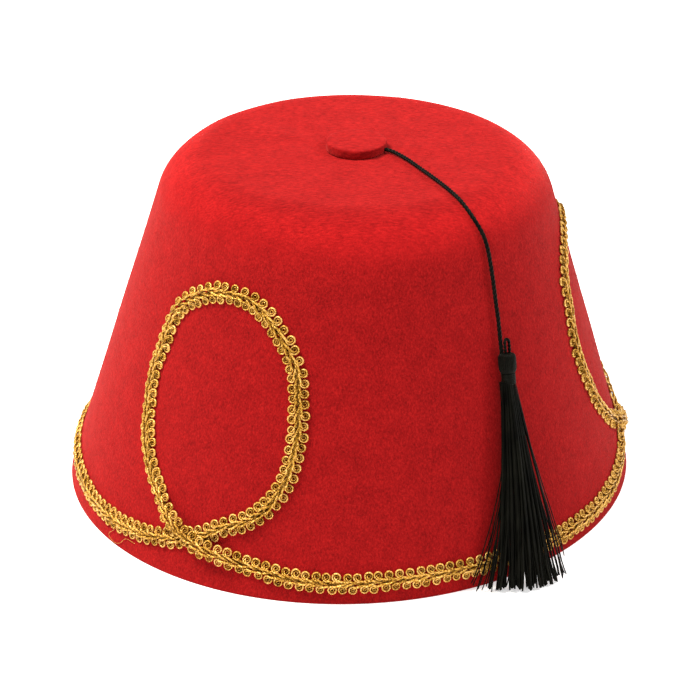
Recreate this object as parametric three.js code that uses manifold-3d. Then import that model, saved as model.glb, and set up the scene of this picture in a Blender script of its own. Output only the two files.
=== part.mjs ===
// A felt fez with a gold gimp braid and a black tassel, in millimetres, +Z up.
// The origin is the middle of the hem's circle, on the surface that the hat rests on.
// Turns are measured about +Z from +X, and the front of the hat looks towards -Y.
// A slant is a length along the outside of the crown, from the hem up the wall, over the
// shoulder and in to the middle of the top.
import * as THREE from "three";
import { mergeVertices } from "three/addons/utils/BufferGeometryUtils.js";
import Module from "manifold-3d";

const wasm = await Module();
wasm.setup();

// Felt crown
const HEM_RADIUS = 95;
const TOP_RADIUS = 60;
const CROWN_HEIGHT = 113.6;
const SHOULDER_RADIUS = 19.3;
const FELT_THICKNESS = 2.5;
const TOP_LEAN = 2;

// How far the hem and the top are out of round: the long axis grows by this share, the short
// axis shrinks by it, and the turn is that of the long axis.
const HEM_OVAL = { share: 0.0167, turn: 34.4 };
const TOP_OVAL = { share: 0.0123, turn: -30.6 };

// Top button
const BUTTON_RADIUS = 9.85;
const BUTTON_THICKNESS = 2.7;
const BUTTON_EDGE_ROUND = 0.4;

// Gimp braid
const BRAID_WIDTH = 7.2;
const BRAID_THICKNESS = 1.2;
const LOOP_HALF_WIDTH = 29;
const LOOP_HEIGHT = 78.1;
const CROSSING_SLANT = 14.2;
const SWAG_SLANT = 6.8;
const HUMP_LEVEL = 1.2 * BRAID_WIDTH;
const HUMP_RAMP = 1.5 * BRAID_WIDTH;

// Tassel and its cord
const CORD_DIAMETER = 1.4;
const TASSEL_SLANT = 72.5;
const TASSEL_TURN = -52;
const SKIRT_TURN = -56.4;
const HEAD_RADIUS = 2.85;
const HEAD_LENGTH = 6;
const BINDING_RADIUS = 2.3;
const BINDING_LENGTH = 4;
const BINDING_THREAD = 0.55;
const BINDING_BULGE = 0.3 * BINDING_THREAD;
const LOOP_THREAD = 1.1;
const LOOP_LEGS_APART = 1.65;
const LOOP_RISE = 4.3;
const LOOP_OFF_MIDDLE = 0.4;
const SKIRT_HALF_WIDTH = 14;
const SKIRT_HALF_DEPTH = 3.8;
const SKIRT_STAND_OFF = 6.2;
const SKIRT_FLARE = 1.15;
const LOCK_ROOT_RADIUS = 0.55;
const LOCK_END_RADIUS = 1.4;

// Clearances
const SEAT_GAP = 0.3;
const FLOOR_GAP = 0.4;

// Fineness of the facets
const CROWN_SIDES = 72;
const WALL_ROWS = 4;
const SHOULDER_ROWS = 8;
const INNER_SHOULDER_ROWS = 5;
const BUTTON_SIDES = 40;
const BRAID_STEP = 5;
const CORD_SIDES = 8;
const CORD_STEPS = 34;
const LOOP_STEPS = 12;
const TASSEL_SIDES = 14;
const LOCK_SIDES = 7;
const LOCK_ROWS = 6;
const WELD_DISTANCE = 1e-4;

const FULL_TURN = 2 * Math.PI;
const radians = THREE.MathUtils.degToRad;

// The braid's path round one loop. It comes in from the left at the crossing, goes up the right
// side and down the left, and passes over itself. Across is a share of the loop's half width
// from its middle, and up is a share of its height above the crossing.
const LOOP_ROUTE = [
  { across: 0.02, up: 0.0, over: 0 },
  { across: 0.4, up: 0.078, over: 0 },
  { across: 0.75, up: 0.155, over: 0 },
  { across: 0.97, up: 0.28, over: 0 },
  { across: 1.02, up: 0.44, over: 0 },
  { across: 0.98, up: 0.6, over: 0 },
  { across: 0.87, up: 0.757, over: 0 },
  { across: 0.61, up: 0.892, over: 0 },
  { across: 0.3, up: 0.981, over: 0 },
  { across: -0.05, up: 1.0, over: 0 },
  { across: -0.44, up: 0.95, over: 0 },
  { across: -0.73, up: 0.851, over: 0 },
  { across: -0.84, up: 0.72, over: 0 },
  { across: -0.93, up: 0.58, over: 0 },
  { across: -0.9, up: 0.43, over: 0 },
  { across: -0.77, up: 0.266, over: 0 },
  { across: -0.5, up: 0.133, over: 0 },
  { across: 0.02, up: 0.0, over: 1 },
  { across: 0.37, up: -0.029, over: 0 },
];

// The braid's path from one loop to the next, along the hem. Along is a share of the turn
// between the two loops' middles, and rise is a share of the swag's slant.
const SWAG_ROUTE = [
  { along: 0.124, rise: 1.4 },
  { along: 0.195, rise: 1.1 },
  { along: 0.26, rise: 1.0 },
  { along: 0.35, rise: 1.06 },
  { along: 0.47, rise: 1.06 },
  { along: 0.57, rise: 0.99 },
  { along: 0.68, rise: 0.91 },
  { along: 0.77, rise: 0.91 },
  { along: 0.835, rise: 1.05 },
  { along: 0.89, rise: 1.24 },
  { along: 0.94, rise: 1.52 },
];

// Each loop: the turn of its middle, its reach to the left and right and its height as shares
// of the named ones, and how much higher the middle of the swag after it lies, as a share of
// the swag's slant.
const LOOPS = [
  { turn: 236.3, left: 1.0, right: 1.0, height: 1.0, lift: 0 },
  { turn: 359.2, left: 1.1, right: 1.03, height: 1.03, lift: 0.15 },
  { turn: 477.7, left: 1.05, right: 1.0, height: 1.0, lift: 0.5 },
];

// The braid's cross-section: shares of half its width and of its thickness.
const BRAID_SECTION = [
  { side: -0.88, out: 0 },
  { side: 0.88, out: 0 },
  { side: 1, out: 0.45 },
  { side: 0.75, out: 1 },
  { side: -0.75, out: 1 },
  { side: -1, out: 0.45 },
];

// Where each lock of the skirt ends: a share of the skirt's half width and half depth.
const LOCKS = [
  { across: -0.95, depth: -0.35 },
  { across: -0.7, depth: 0.55 },
  { across: -0.66, depth: -0.62 },
  { across: -0.42, depth: 0.75 },
  { across: -0.35, depth: -0.65 },
  { across: -0.14, depth: 0.8 },
  { across: -0.05, depth: -0.6 },
  { across: 0.14, depth: 0.75 },
  { across: 0.24, depth: -0.65 },
  { across: 0.42, depth: 0.78 },
  { across: 0.52, depth: -0.62 },
  { across: 0.7, depth: 0.6 },
  { across: 0.78, depth: -0.3 },
  { across: 0.97, depth: 0.35 },
  { across: 0.0, depth: 0.1 },
];

// The outline of the tassel's head from its foot to its top: shares of its radius and length.
const HEAD_PROFILE = [
  { radius: 0.8, down: 1 },
  { radius: 1, down: 0.8 },
  { radius: 1, down: 0.3 },
  { radius: 0.92, down: 0.1 },
  { radius: 0.76, down: 0 },
];

// The cord's middle line, from under the button to the head of the tassel.
const CORD_ROUTE = [
  [7.6, -2.5, 114.7],
  [9.6, -2.9, 114.7],
  [11.6, -3.5, 114.7],
  [13.6, -5.0, 114.7],
  [16.0, -8.1, 114.7],
  [19.1, -13.1, 114.7],
  [22.1, -18.9, 114.7],
  [25.1, -24.6, 114.7],
  [28.0, -30.4, 114.7],
  [30.9, -36.6, 114.6],
  [33.7, -41.8, 113.8],
  [36.2, -45.5, 111.8],
  [38.3, -47.8, 109.3],
  [40.1, -49.3, 106.7],
  [41.4, -50.5, 104.0],
  [42.3, -51.4, 101.0],
  [43.0, -52.3, 97.5],
  [43.7, -53.2, 93.5],
  [44.4, -54.3, 88.9],
  [45.0, -55.3, 84.7],
  [45.7, -56.5, 80.2],
  [46.2, -57.6, 76.0],
  [46.6, -58.8, 72.4],
  [46.9, -59.6, 70.3],
];

// Finishes
const RED_FELT = new THREE.MeshStandardMaterial({ color: 0xc8262a, roughness: 0.95, metalness: 0 });
const GOLD_GIMP = new THREE.MeshStandardMaterial({ color: 0xc9953a, roughness: 0.45, metalness: 0.5 });
const BLACK_THREAD = new THREE.MeshStandardMaterial({ color: 0x14120f, roughness: 0.5, metalness: 0 });

// The meridian of the crown: a straight wall, an arc and a flat top.
const WALL_LEAN = Math.atan2(HEM_RADIUS - TOP_RADIUS, CROWN_HEIGHT);
const SHOULDER_TURN = Math.PI / 2 - WALL_LEAN;
const SHOULDER_TANGENT = SHOULDER_RADIUS * Math.tan(SHOULDER_TURN / 2);
const WALL_LENGTH = Math.hypot(HEM_RADIUS - TOP_RADIUS, CROWN_HEIGHT) - SHOULDER_TANGENT;
const SHOULDER_LENGTH = SHOULDER_RADIUS * SHOULDER_TURN;
const FLAT_RADIUS = TOP_RADIUS - SHOULDER_TANGENT;
const SHOULDER_CENTRE_HEIGHT = CROWN_HEIGHT - SHOULDER_RADIUS;

// The radius and height of the crown's outside at a slant, moved out along its normal.
function meridianAt(slant, out) {
  if (slant <= WALL_LENGTH) {
    return {
      radius: HEM_RADIUS - slant * Math.sin(WALL_LEAN) + out * Math.cos(WALL_LEAN),
      height: slant * Math.cos(WALL_LEAN) + out * Math.sin(WALL_LEAN),
    };
  }
  const past = slant - WALL_LENGTH;
  if (past <= SHOULDER_LENGTH) {
    const rise = WALL_LEAN + past / SHOULDER_RADIUS;
    return {
      radius: FLAT_RADIUS + (SHOULDER_RADIUS + out) * Math.cos(rise),
      height: SHOULDER_CENTRE_HEIGHT + (SHOULDER_RADIUS + out) * Math.sin(rise),
    };
  }
  return { radius: FLAT_RADIUS - (past - SHOULDER_LENGTH), height: CROWN_HEIGHT + out };
}

// A point of the round crown, pushed out of round and leant over as the felt is.
function shapedPoint(turn, radius, height) {
  const share = height / CROWN_HEIGHT;
  const hem = HEM_OVAL.share * Math.cos(2 * (turn - radians(HEM_OVAL.turn)));
  const top = TOP_OVAL.share * Math.cos(2 * (turn - radians(TOP_OVAL.turn)));
  const stretched = radius * (1 + (1 - share) * hem + share * top);
  return new THREE.Vector3(
    stretched * Math.cos(turn) + TOP_LEAN * share,
    stretched * Math.sin(turn),
    height,
  );
}

function onCrown(turn, slant, out) {
  const { radius, height } = meridianAt(slant, out);
  return shapedPoint(turn, radius, height);
}

// A closed skin over rings of points. A looped one joins its last ring to its first, and the
// others are closed by a flat fan at each end. Rings turn left about the way they advance.
function skinOf(rings, looped) {
  const sides = rings[0].length;
  const points = rings.flat();
  const faces = [];
  const spans = looped ? rings.length : rings.length - 1;
  for (let row = 0; row < spans; row++) {
    const near = row * sides;
    const far = ((row + 1) % rings.length) * sides;
    for (let side = 0; side < sides; side++) {
      const next = (side + 1) % sides;
      faces.push(near + side, near + next, far + next);
      faces.push(near + side, far + next, far + side);
    }
  }
  if (!looped) {
    const last = (rings.length - 1) * sides;
    for (let side = 1; side < sides - 1; side++) {
      faces.push(0, side + 1, side);
      faces.push(last, last + side, last + side + 1);
    }
  }
  const geometry = new THREE.BufferGeometry().setFromPoints(points);
  geometry.setIndex(faces);
  return geometry;
}

// A closed geometry as a solid that can be cut and joined.
function solidOf(geometry) {
  const bare = geometry.clone();
  bare.deleteAttribute("normal");
  bare.deleteAttribute("uv");
  const merged = mergeVertices(bare, WELD_DISTANCE);
  return new wasm.Manifold(
    new wasm.Mesh({
      numProp: 3,
      vertProperties: new Float32Array(merged.attributes.position.array),
      triVerts: new Uint32Array(merged.index.array),
    }),
  );
}

function geometryOf(solid) {
  const mesh = solid.getMesh();
  const geometry = new THREE.BufferGeometry();
  geometry.setAttribute("position", new THREE.BufferAttribute(mesh.vertProperties, 3));
  geometry.setIndex(new THREE.BufferAttribute(mesh.triVerts, 1));
  geometry.computeVertexNormals();
  return geometry;
}

// A solid with the pockets that its joined parts close off filled in.
function withoutPockets(solid) {
  return wasm.Manifold.compose(solid.decompose().filter((shell) => shell.volume() > 0));
}

// Felt crown: one wall turned about the axis, then pushed out of round.
function crownGeometry() {
  const profile = [];
  const innerShoulder = SHOULDER_RADIUS - FELT_THICKNESS;
  profile.push(new THREE.Vector2(0, CROWN_HEIGHT - FELT_THICKNESS));
  for (let row = INNER_SHOULDER_ROWS; row >= 0; row--) {
    const rise = WALL_LEAN + (SHOULDER_TURN * row) / INNER_SHOULDER_ROWS;
    profile.push(
      new THREE.Vector2(
        FLAT_RADIUS + innerShoulder * Math.cos(rise),
        SHOULDER_CENTRE_HEIGHT + innerShoulder * Math.sin(rise),
      ),
    );
  }
  const innerHem = HEM_RADIUS - FELT_THICKNESS / Math.cos(WALL_LEAN);
  const innerFoot = profile[profile.length - 1];
  for (let row = WALL_ROWS - 1; row >= 0; row--) {
    const share = row / WALL_ROWS;
    profile.push(
      new THREE.Vector2(innerHem + (innerFoot.x - innerHem) * share, innerFoot.y * share),
    );
  }
  for (let row = 0; row < WALL_ROWS; row++) {
    const { radius, height } = meridianAt((WALL_LENGTH * row) / WALL_ROWS, 0);
    profile.push(new THREE.Vector2(radius, height));
  }
  for (let row = 0; row <= SHOULDER_ROWS; row++) {
    const { radius, height } = meridianAt(WALL_LENGTH + (SHOULDER_LENGTH * row) / SHOULDER_ROWS, 0);
    profile.push(new THREE.Vector2(radius, height));
  }
  profile.push(new THREE.Vector2(0, CROWN_HEIGHT));
  const geometry = new THREE.LatheGeometry(profile, CROWN_SIDES);
  geometry.rotateX(Math.PI / 2);
  const place = geometry.attributes.position;
  for (let index = 0; index < place.count; index++) {
    const across = place.getX(index);
    const back = place.getY(index);
    const shaped = shapedPoint(Math.atan2(back, across), Math.hypot(across, back), place.getZ(index));
    place.setXYZ(index, shaped.x, shaped.y, shaped.z);
  }
  geometry.computeVertexNormals();
  return geometry;
}

// The cord as a smooth line, shared by its own solid and by the channel under the button.
const cordLine = new THREE.CatmullRomCurve3(
  CORD_ROUTE.map(([x, y, z]) => new THREE.Vector3(x, y, z)),
);

function circleShape(radius, sides) {
  const shape = new THREE.Shape();
  for (let side = 0; side < sides; side++) {
    const turn = (FULL_TURN * side) / sides;
    const x = radius * Math.cos(turn);
    const y = radius * Math.sin(turn);
    if (side === 0) {
      shape.moveTo(x, y);
    } else {
      shape.lineTo(x, y);
    }
  }
  shape.closePath();
  return shape;
}

function tubeGeometry(line, radius, sides, steps) {
  return new THREE.ExtrudeGeometry(circleShape(radius, sides), { steps, extrudePath: line });
}

// Top button: a cut felt disc with a channel pressed into its underside for the cord's end.
function buttonGeometry() {
  const foot = CROWN_HEIGHT + SEAT_GAP;
  const top = foot + BUTTON_THICKNESS;
  const disc = new THREE.LatheGeometry(
    [
      new THREE.Vector2(0, foot),
      new THREE.Vector2(BUTTON_RADIUS, foot),
      new THREE.Vector2(BUTTON_RADIUS, top - BUTTON_EDGE_ROUND),
      new THREE.Vector2(BUTTON_RADIUS - BUTTON_EDGE_ROUND, top),
      new THREE.Vector2(0, top),
    ],
    BUTTON_SIDES,
  );
  disc.rotateX(Math.PI / 2);
  disc.translate(TOP_LEAN, 0, 0);
  const start = cordLine.getPointAt(0);
  const heading = cordLine.getTangentAt(0);
  const channelHeight = CORD_DIAMETER + 2 * SEAT_GAP;
  const channelWidth = CORD_DIAMETER + 4 * SEAT_GAP;
  const channelLength = BUTTON_RADIUS;
  const channel = new THREE.BoxGeometry(channelLength, channelWidth, channelHeight);
  channel.translate(channelLength / 2 - SEAT_GAP, 0, 0);
  channel.rotateZ(Math.atan2(heading.y, heading.x));
  channel.translate(start.x, start.y, start.z);
  return geometryOf(solidOf(disc).subtract(solidOf(channel)));
}

// The braid's middle line as turns and slants, over all its loops.
function braidControls() {
  const controls = [];
  LOOPS.forEach((loop, index) => {
    const following = LOOPS[(index + 1) % LOOPS.length];
    const wrap = index + 1 === LOOPS.length ? 360 : 0;
    const middle = radians(loop.turn);
    const gap = radians(following.turn + wrap - loop.turn);
    for (const row of LOOP_ROUTE) {
      const slant = CROSSING_SLANT + row.up * loop.height * LOOP_HEIGHT;
      const share = row.across < 0 ? loop.left : loop.right;
      const reach = row.across * share * LOOP_HALF_WIDTH;
      const turn = middle + reach / meridianAt(slant, 0).radius;
      controls.push({ turn, slant, over: row.over });
    }
    for (const row of SWAG_ROUTE) {
      const lift = loop.lift * Math.sin(Math.PI * row.along) ** 2;
      const slant = (row.rise + lift) * SWAG_SLANT;
      controls.push({ turn: middle + row.along * gap, slant, over: 0 });
    }
  });
  return controls;
}

// The braid's stations: evenly stepped points of the endless line, with the length so far and
// the lengths at which the line passes over itself.
function braidStations() {
  const controls = braidControls();
  const lap = FULL_TURN * HEM_RADIUS;
  const flat = controls.map(({ turn, slant }) => new THREE.Vector3(turn * HEM_RADIUS, slant, 0));
  const first = flat[0];
  const second = flat[1];
  const last = flat[flat.length - 1];
  const unrolled = [
    new THREE.Vector3(last.x - lap, last.y, 0),
    ...flat,
    new THREE.Vector3(first.x + lap, first.y, 0),
    new THREE.Vector3(second.x + lap, second.y, 0),
  ];
  const line = new THREE.CatmullRomCurve3(unrolled);
  const spans = unrolled.length - 1;
  const stations = [];
  const crossings = [];
  let travelled = 0;
  for (let index = 0; index < controls.length; index++) {
    const start = onCrown(controls[index].turn, controls[index].slant, 0);
    const next = controls[(index + 1) % controls.length];
    const end = onCrown(next.turn, next.slant, 0);
    const length = start.distanceTo(end);
    const steps = Math.max(1, Math.round(length / BRAID_STEP));
    if (controls[index].over) crossings.push(travelled);
    for (let step = 0; step < steps; step++) {
      const point = line.getPoint((index + 1 + step / steps) / spans);
      stations.push({
        turn: point.x / HEM_RADIUS,
        slant: point.y,
        travelled: travelled + (length * step) / steps,
      });
    }
    travelled += length;
  }
  return { stations, crossings, total: travelled };
}

// How high the braid is lifted over its lower strand: level over the crossing, then a ramp.
function humpAt(travelled, crossings, total) {
  let lift = 0;
  for (const crossing of crossings) {
    const direct = Math.abs(travelled - crossing);
    const away = Math.min(direct, total - direct);
    lift = Math.max(lift, 1 - THREE.MathUtils.smoothstep(away, HUMP_LEVEL, HUMP_LEVEL + HUMP_RAMP));
  }
  return lift * (BRAID_THICKNESS + SEAT_GAP);
}

// Gimp braid: a flat band with softened edges, swept along its line on the crown.
function braidGeometry() {
  const section = BRAID_SECTION.map(({ side, out }) => ({
    side: (side * BRAID_WIDTH) / 2,
    out: out * BRAID_THICKNESS,
  }));
  const { stations, crossings, total } = braidStations();
  const count = stations.length;
  const rings = stations.map((station, index) => {
    const before = stations[(index - 1 + count) % count];
    const after = stations[(index + 1) % count];
    const beforeTurn = before.turn - (index === 0 ? FULL_TURN : 0);
    const afterTurn = after.turn + (index === count - 1 ? FULL_TURN : 0);
    const radius = meridianAt(station.slant, 0).radius;
    const heading = new THREE.Vector2(
      (afterTurn - beforeTurn) * radius,
      after.slant - before.slant,
    ).normalize();
    const lift = SEAT_GAP + humpAt(station.travelled, crossings, total);
    return section.map(({ side, out }) =>
      onCrown(
        station.turn - (heading.y * side) / radius,
        station.slant + heading.x * side,
        lift + out,
      ),
    );
  });
  return skinOf(rings, true);
}

// The tassel lies on the wall. A point of it is given by its slant, and by its distances
// across the wall and out from it, from a middle line that drifts as it goes down.
const NECK_SLANT = TASSEL_SLANT - HEAD_LENGTH - BINDING_LENGTH;
const HEAD_STAND_OFF = HEAD_RADIUS + SEAT_GAP;
const NECK_RADIUS = BINDING_RADIUS - BINDING_THREAD - SEAT_GAP;

function onTassel(slant, across, out) {
  const share = (TASSEL_SLANT - slant) / TASSEL_SLANT;
  const turn = radians(TASSEL_TURN + (SKIRT_TURN - TASSEL_TURN) * share);
  return onCrown(turn + across / meridianAt(slant, 0).radius, slant, out);
}

// The frame of the head: its top's middle, the way up along it, across it and out from the wall.
const headTop = onTassel(TASSEL_SLANT, 0, HEAD_STAND_OFF);
const headFoot = onTassel(NECK_SLANT, 0, HEAD_STAND_OFF);
const headUp = headTop.clone().sub(headFoot).normalize();
const headOut = onTassel(TASSEL_SLANT, 0, HEAD_STAND_OFF + 1)
  .sub(headTop)
  .projectOnPlane(headUp)
  .normalize();
const headAcross = new THREE.Vector3().crossVectors(headUp, headOut);

// Stands a turned geometry, whose axis is +Y with its top at 0, at the head of the tassel.
function standAtHead(geometry) {
  const frame = new THREE.Matrix4().makeBasis(headAcross, headUp, headOut);
  frame.setPosition(headTop);
  return geometry.applyMatrix4(frame);
}

// A lock: a bundle of threads from inside the neck down to just above the floor.
function lockGeometry({ across, depth }) {
  const endOut = SKIRT_STAND_OFF + depth * (SKIRT_HALF_DEPTH - LOCK_END_RADIUS);
  const endRise = FLOOR_GAP + LOCK_END_RADIUS * Math.sin(WALL_LEAN);
  const endSlant = (endRise - endOut * Math.sin(WALL_LEAN)) / Math.cos(WALL_LEAN);
  const endAcross = across * (SKIRT_HALF_WIDTH - LOCK_END_RADIUS);
  const rootReach = NECK_RADIUS - LOCK_ROOT_RADIUS;
  const rootSlant = NECK_SLANT + SEAT_GAP;
  const rings = [];
  for (let row = 0; row <= LOCK_ROWS; row++) {
    const share = row / LOCK_ROWS;
    const slant = THREE.MathUtils.lerp(rootSlant, endSlant, share);
    const spread = share ** SKIRT_FLARE;
    const middleAcross = THREE.MathUtils.lerp(across * rootReach, endAcross, spread);
    const middleOut = THREE.MathUtils.lerp(HEAD_STAND_OFF + depth * rootReach, endOut, share);
    const radius = THREE.MathUtils.lerp(LOCK_ROOT_RADIUS, LOCK_END_RADIUS, Math.sqrt(share));
    const ring = [];
    for (let side = 0; side < LOCK_SIDES; side++) {
      const turn = (FULL_TURN * side) / LOCK_SIDES;
      const acrossHere = middleAcross + radius * Math.cos(turn);
      const outHere = middleOut + radius * Math.sin(turn);
      ring.push(onTassel(slant, acrossHere, outHere));
    }
    rings.push(ring);
  }
  return skinOf(rings, false);
}

// Tassel: the head, the core of the neck and the locks, as one body.
function tasselGeometry() {
  const foot = -(HEAD_LENGTH + BINDING_LENGTH + 2 * SEAT_GAP);
  const body = new THREE.LatheGeometry(
    [
      new THREE.Vector2(0, foot),
      new THREE.Vector2(NECK_RADIUS, foot),
      new THREE.Vector2(NECK_RADIUS, -HEAD_LENGTH),
      ...HEAD_PROFILE.map(
        ({ radius, down }) => new THREE.Vector2(radius * HEAD_RADIUS, -down * HEAD_LENGTH),
      ),
      new THREE.Vector2(0, 0),
    ],
    TASSEL_SIDES,
  );
  let tassel = solidOf(standAtHead(body));
  for (const lock of LOCKS) tassel = tassel.add(solidOf(lockGeometry(lock)));
  return geometryOf(withoutPockets(tassel));
}

// Tassel binding: the thread wound round the neck, as one ring.
function bindingGeometry() {
  const inner = BINDING_RADIUS - BINDING_THREAD;
  const top = -(HEAD_LENGTH + SEAT_GAP);
  const foot = -(HEAD_LENGTH + BINDING_LENGTH);
  return standAtHead(
    new THREE.LatheGeometry(
      [
        new THREE.Vector2(inner, top),
        new THREE.Vector2(inner, foot),
        new THREE.Vector2(BINDING_RADIUS - BINDING_BULGE, foot),
        new THREE.Vector2(BINDING_RADIUS, (top + foot) / 2),
        new THREE.Vector2(BINDING_RADIUS - BINDING_BULGE, top),
        new THREE.Vector2(inner, top),
      ],
      TASSEL_SIDES,
    ),
  );
}

// Tassel loop: a thread that stands up from the head and comes back to it.
function loopGeometry() {
  const reach = LOOP_LEGS_APART / 2;
  const line = new THREE.CurvePath();
  const foot = SEAT_GAP;
  const spring = LOOP_RISE - reach;
  line.add(new THREE.LineCurve3(new THREE.Vector3(reach, foot, 0), new THREE.Vector3(reach, spring, 0)));
  line.add(
    new THREE.CubicBezierCurve3(
      new THREE.Vector3(reach, spring, 0),
      new THREE.Vector3(reach, LOOP_RISE + reach / 3, 0),
      new THREE.Vector3(-reach, LOOP_RISE + reach / 3, 0),
      new THREE.Vector3(-reach, spring, 0),
    ),
  );
  line.add(new THREE.LineCurve3(new THREE.Vector3(-reach, spring, 0), new THREE.Vector3(-reach, foot, 0)));
  const geometry = tubeGeometry(line, LOOP_THREAD / 2, CORD_SIDES, LOOP_STEPS);
  geometry.translate(LOOP_OFF_MIDDLE, 0, 0);
  return standAtHead(geometry);
}

const pieces = [
  ["crown", crownGeometry(), RED_FELT],
  ["top_button", buttonGeometry(), RED_FELT],
  ["gimp_braid", braidGeometry(), GOLD_GIMP],
  ["tassel_cord", tubeGeometry(cordLine, CORD_DIAMETER / 2, CORD_SIDES, CORD_STEPS), BLACK_THREAD],
  ["tassel_loop", loopGeometry(), BLACK_THREAD],
  ["tassel", tasselGeometry(), BLACK_THREAD],
  ["tassel_binding", bindingGeometry(), BLACK_THREAD],
];

const fez = new THREE.Group();
for (const [name, geometry, material] of pieces) {
  const mesh = new THREE.Mesh(geometry, material);
  mesh.name = name;
  fez.add(mesh);
}

export default fez;
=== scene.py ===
# %% [markdown]
# # A felt fez, dressed for the camera
# The hat is a stiff felt cup with a gold gimp braid sewn on and a black tassel on a cord.
# Its solids come packed from the CAD step and fix where everything is.
# Here each solid gets a finer mesh in the same place, with the thread and fibre that the
# real hat has, so the sizes below repeat those of the source.

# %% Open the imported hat
import math
import bpy
import numpy as np
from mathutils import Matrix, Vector


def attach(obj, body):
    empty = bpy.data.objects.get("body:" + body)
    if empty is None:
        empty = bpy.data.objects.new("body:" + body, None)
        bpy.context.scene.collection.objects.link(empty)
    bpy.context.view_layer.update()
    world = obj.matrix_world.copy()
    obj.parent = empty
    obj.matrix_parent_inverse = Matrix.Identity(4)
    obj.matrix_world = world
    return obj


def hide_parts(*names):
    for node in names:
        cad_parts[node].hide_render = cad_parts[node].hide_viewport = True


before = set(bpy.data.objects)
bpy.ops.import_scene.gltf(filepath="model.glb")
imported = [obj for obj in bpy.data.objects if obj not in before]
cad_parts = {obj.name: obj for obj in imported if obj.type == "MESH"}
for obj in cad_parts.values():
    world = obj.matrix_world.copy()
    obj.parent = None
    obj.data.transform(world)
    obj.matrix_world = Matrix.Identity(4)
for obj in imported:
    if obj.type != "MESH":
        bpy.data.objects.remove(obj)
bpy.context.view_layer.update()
print("packed nodes:", sorted(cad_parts))

# %% [markdown]
# ## Sizes
# A hatter thinks in millimetres, and Blender's unit here is the metre.
# Every size of the hat is written in millimetres and turned into metres at the last step, so
# the numbers can be compared with the source line by line. Only the lights are in metres.

# %% Sizes of the hat, in millimetres
MM = 0.001
HEM_RADIUS = 95.0
TOP_RADIUS = 60.0
CROWN_HEIGHT = 113.6
SHOULDER_RADIUS = 19.3
FELT_THICKNESS = 2.5
TOP_LEAN = 2.0
HEM_OVAL_SHARE = 0.0167
HEM_OVAL_TURN = math.radians(34.4)
TOP_OVAL_SHARE = 0.0123
TOP_OVAL_TURN = math.radians(-30.6)
WALL_LEAN = math.atan2(HEM_RADIUS - TOP_RADIUS, CROWN_HEIGHT)
SHOULDER_TURN = math.pi / 2 - WALL_LEAN
SHOULDER_TANGENT = SHOULDER_RADIUS * math.tan(SHOULDER_TURN / 2)
WALL_LENGTH = math.hypot(HEM_RADIUS - TOP_RADIUS, CROWN_HEIGHT) - SHOULDER_TANGENT
SHOULDER_LENGTH = SHOULDER_RADIUS * SHOULDER_TURN
FLAT_RADIUS = TOP_RADIUS - SHOULDER_TANGENT
print(f"wall {WALL_LENGTH:.1f} mm, shoulder {SHOULDER_LENGTH:.1f} mm, flat {FLAT_RADIUS:.1f} mm")

# %% [markdown]
# ## Camera
# The photograph looks a little down at the hat from the front with a long lens.
# The camera could be placed by eye, but here its height, distance, tilt and lens were worked
# out from the hat's outline, so that the render lines up with the photograph.

# %% Place the camera
CAMERA_PLACE = (0.0, -694.7, 397.01)
CAMERA_TILT_DOWN = math.radians(27.18)
CAMERA_LENS = 118.745
CAMERA_SENSOR = 36.0

camera_data = bpy.data.cameras.new("camera")
camera_data.lens = CAMERA_LENS
camera_data.sensor_width = CAMERA_SENSOR
camera = bpy.data.objects.new("camera", camera_data)
camera.location = Vector(CAMERA_PLACE) * MM
camera.rotation_euler = (math.pi / 2 - CAMERA_TILT_DOWN, 0.0, 0.0)
bpy.context.scene.collection.objects.link(camera)
bpy.context.scene.camera = camera
print(f"camera {camera.location.length:.3f} m from the middle of the hem")

# %% [markdown]
# ## Where a point of the hat lies
# The crown is a round cup that was pushed slightly out of round and leans a little.
# A point on it is easiest to name by its turn about the axis, its slant (the length up the
# wall from the hem) and how far it stands out from the felt.
# The helpers below take whole arrays, so that thousands of points are placed at once.

# %% Points on the crown
def meridian(slant, out):
    """Radius and height of the crown's outside at a slant, moved out along its normal."""
    slant, out = np.broadcast_arrays(np.asarray(slant, float), np.asarray(out, float))
    rise = WALL_LEAN + np.clip(slant - WALL_LENGTH, 0, SHOULDER_LENGTH) / SHOULDER_RADIUS
    wall = np.minimum(slant, WALL_LENGTH)
    flat = np.maximum(slant - WALL_LENGTH - SHOULDER_LENGTH, 0)
    on_wall = slant <= WALL_LENGTH
    radius = np.where(
        on_wall,
        HEM_RADIUS - wall * math.sin(WALL_LEAN) + out * math.cos(WALL_LEAN),
        FLAT_RADIUS + (SHOULDER_RADIUS + out) * np.cos(rise) - flat,
    )
    height = np.where(
        on_wall,
        wall * math.cos(WALL_LEAN) + out * math.sin(WALL_LEAN),
        CROWN_HEIGHT - SHOULDER_RADIUS + (SHOULDER_RADIUS + out) * np.sin(rise),
    )
    return radius, height


def shaped(turn, radius, height):
    """Pushes a round crown's points out of round and leans them over, as the felt is."""
    share = height / CROWN_HEIGHT
    hem = HEM_OVAL_SHARE * np.cos(2 * (turn - HEM_OVAL_TURN))
    top = TOP_OVAL_SHARE * np.cos(2 * (turn - TOP_OVAL_TURN))
    stretched = radius * (1 + (1 - share) * hem + share * top)
    x = stretched * np.cos(turn) + TOP_LEAN * share
    return np.stack([x, stretched * np.sin(turn), height + 0 * turn], axis=-1)


def on_crown(turn, slant, out):
    """Points on the crown, or standing out from it, in millimetres."""
    radius, height = meridian(slant, out)
    return shaped(np.asarray(turn, float), radius, height)


def outward(turn, slant):
    """The crown's unit normals at those points."""
    normal = on_crown(turn, slant, 1.0) - on_crown(turn, slant, 0.0)
    return normal / np.linalg.norm(normal, axis=-1, keepdims=True)


print("the hem's right side is at", np.round(on_crown(0.0, 0.0, 0.0), 2))

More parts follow.
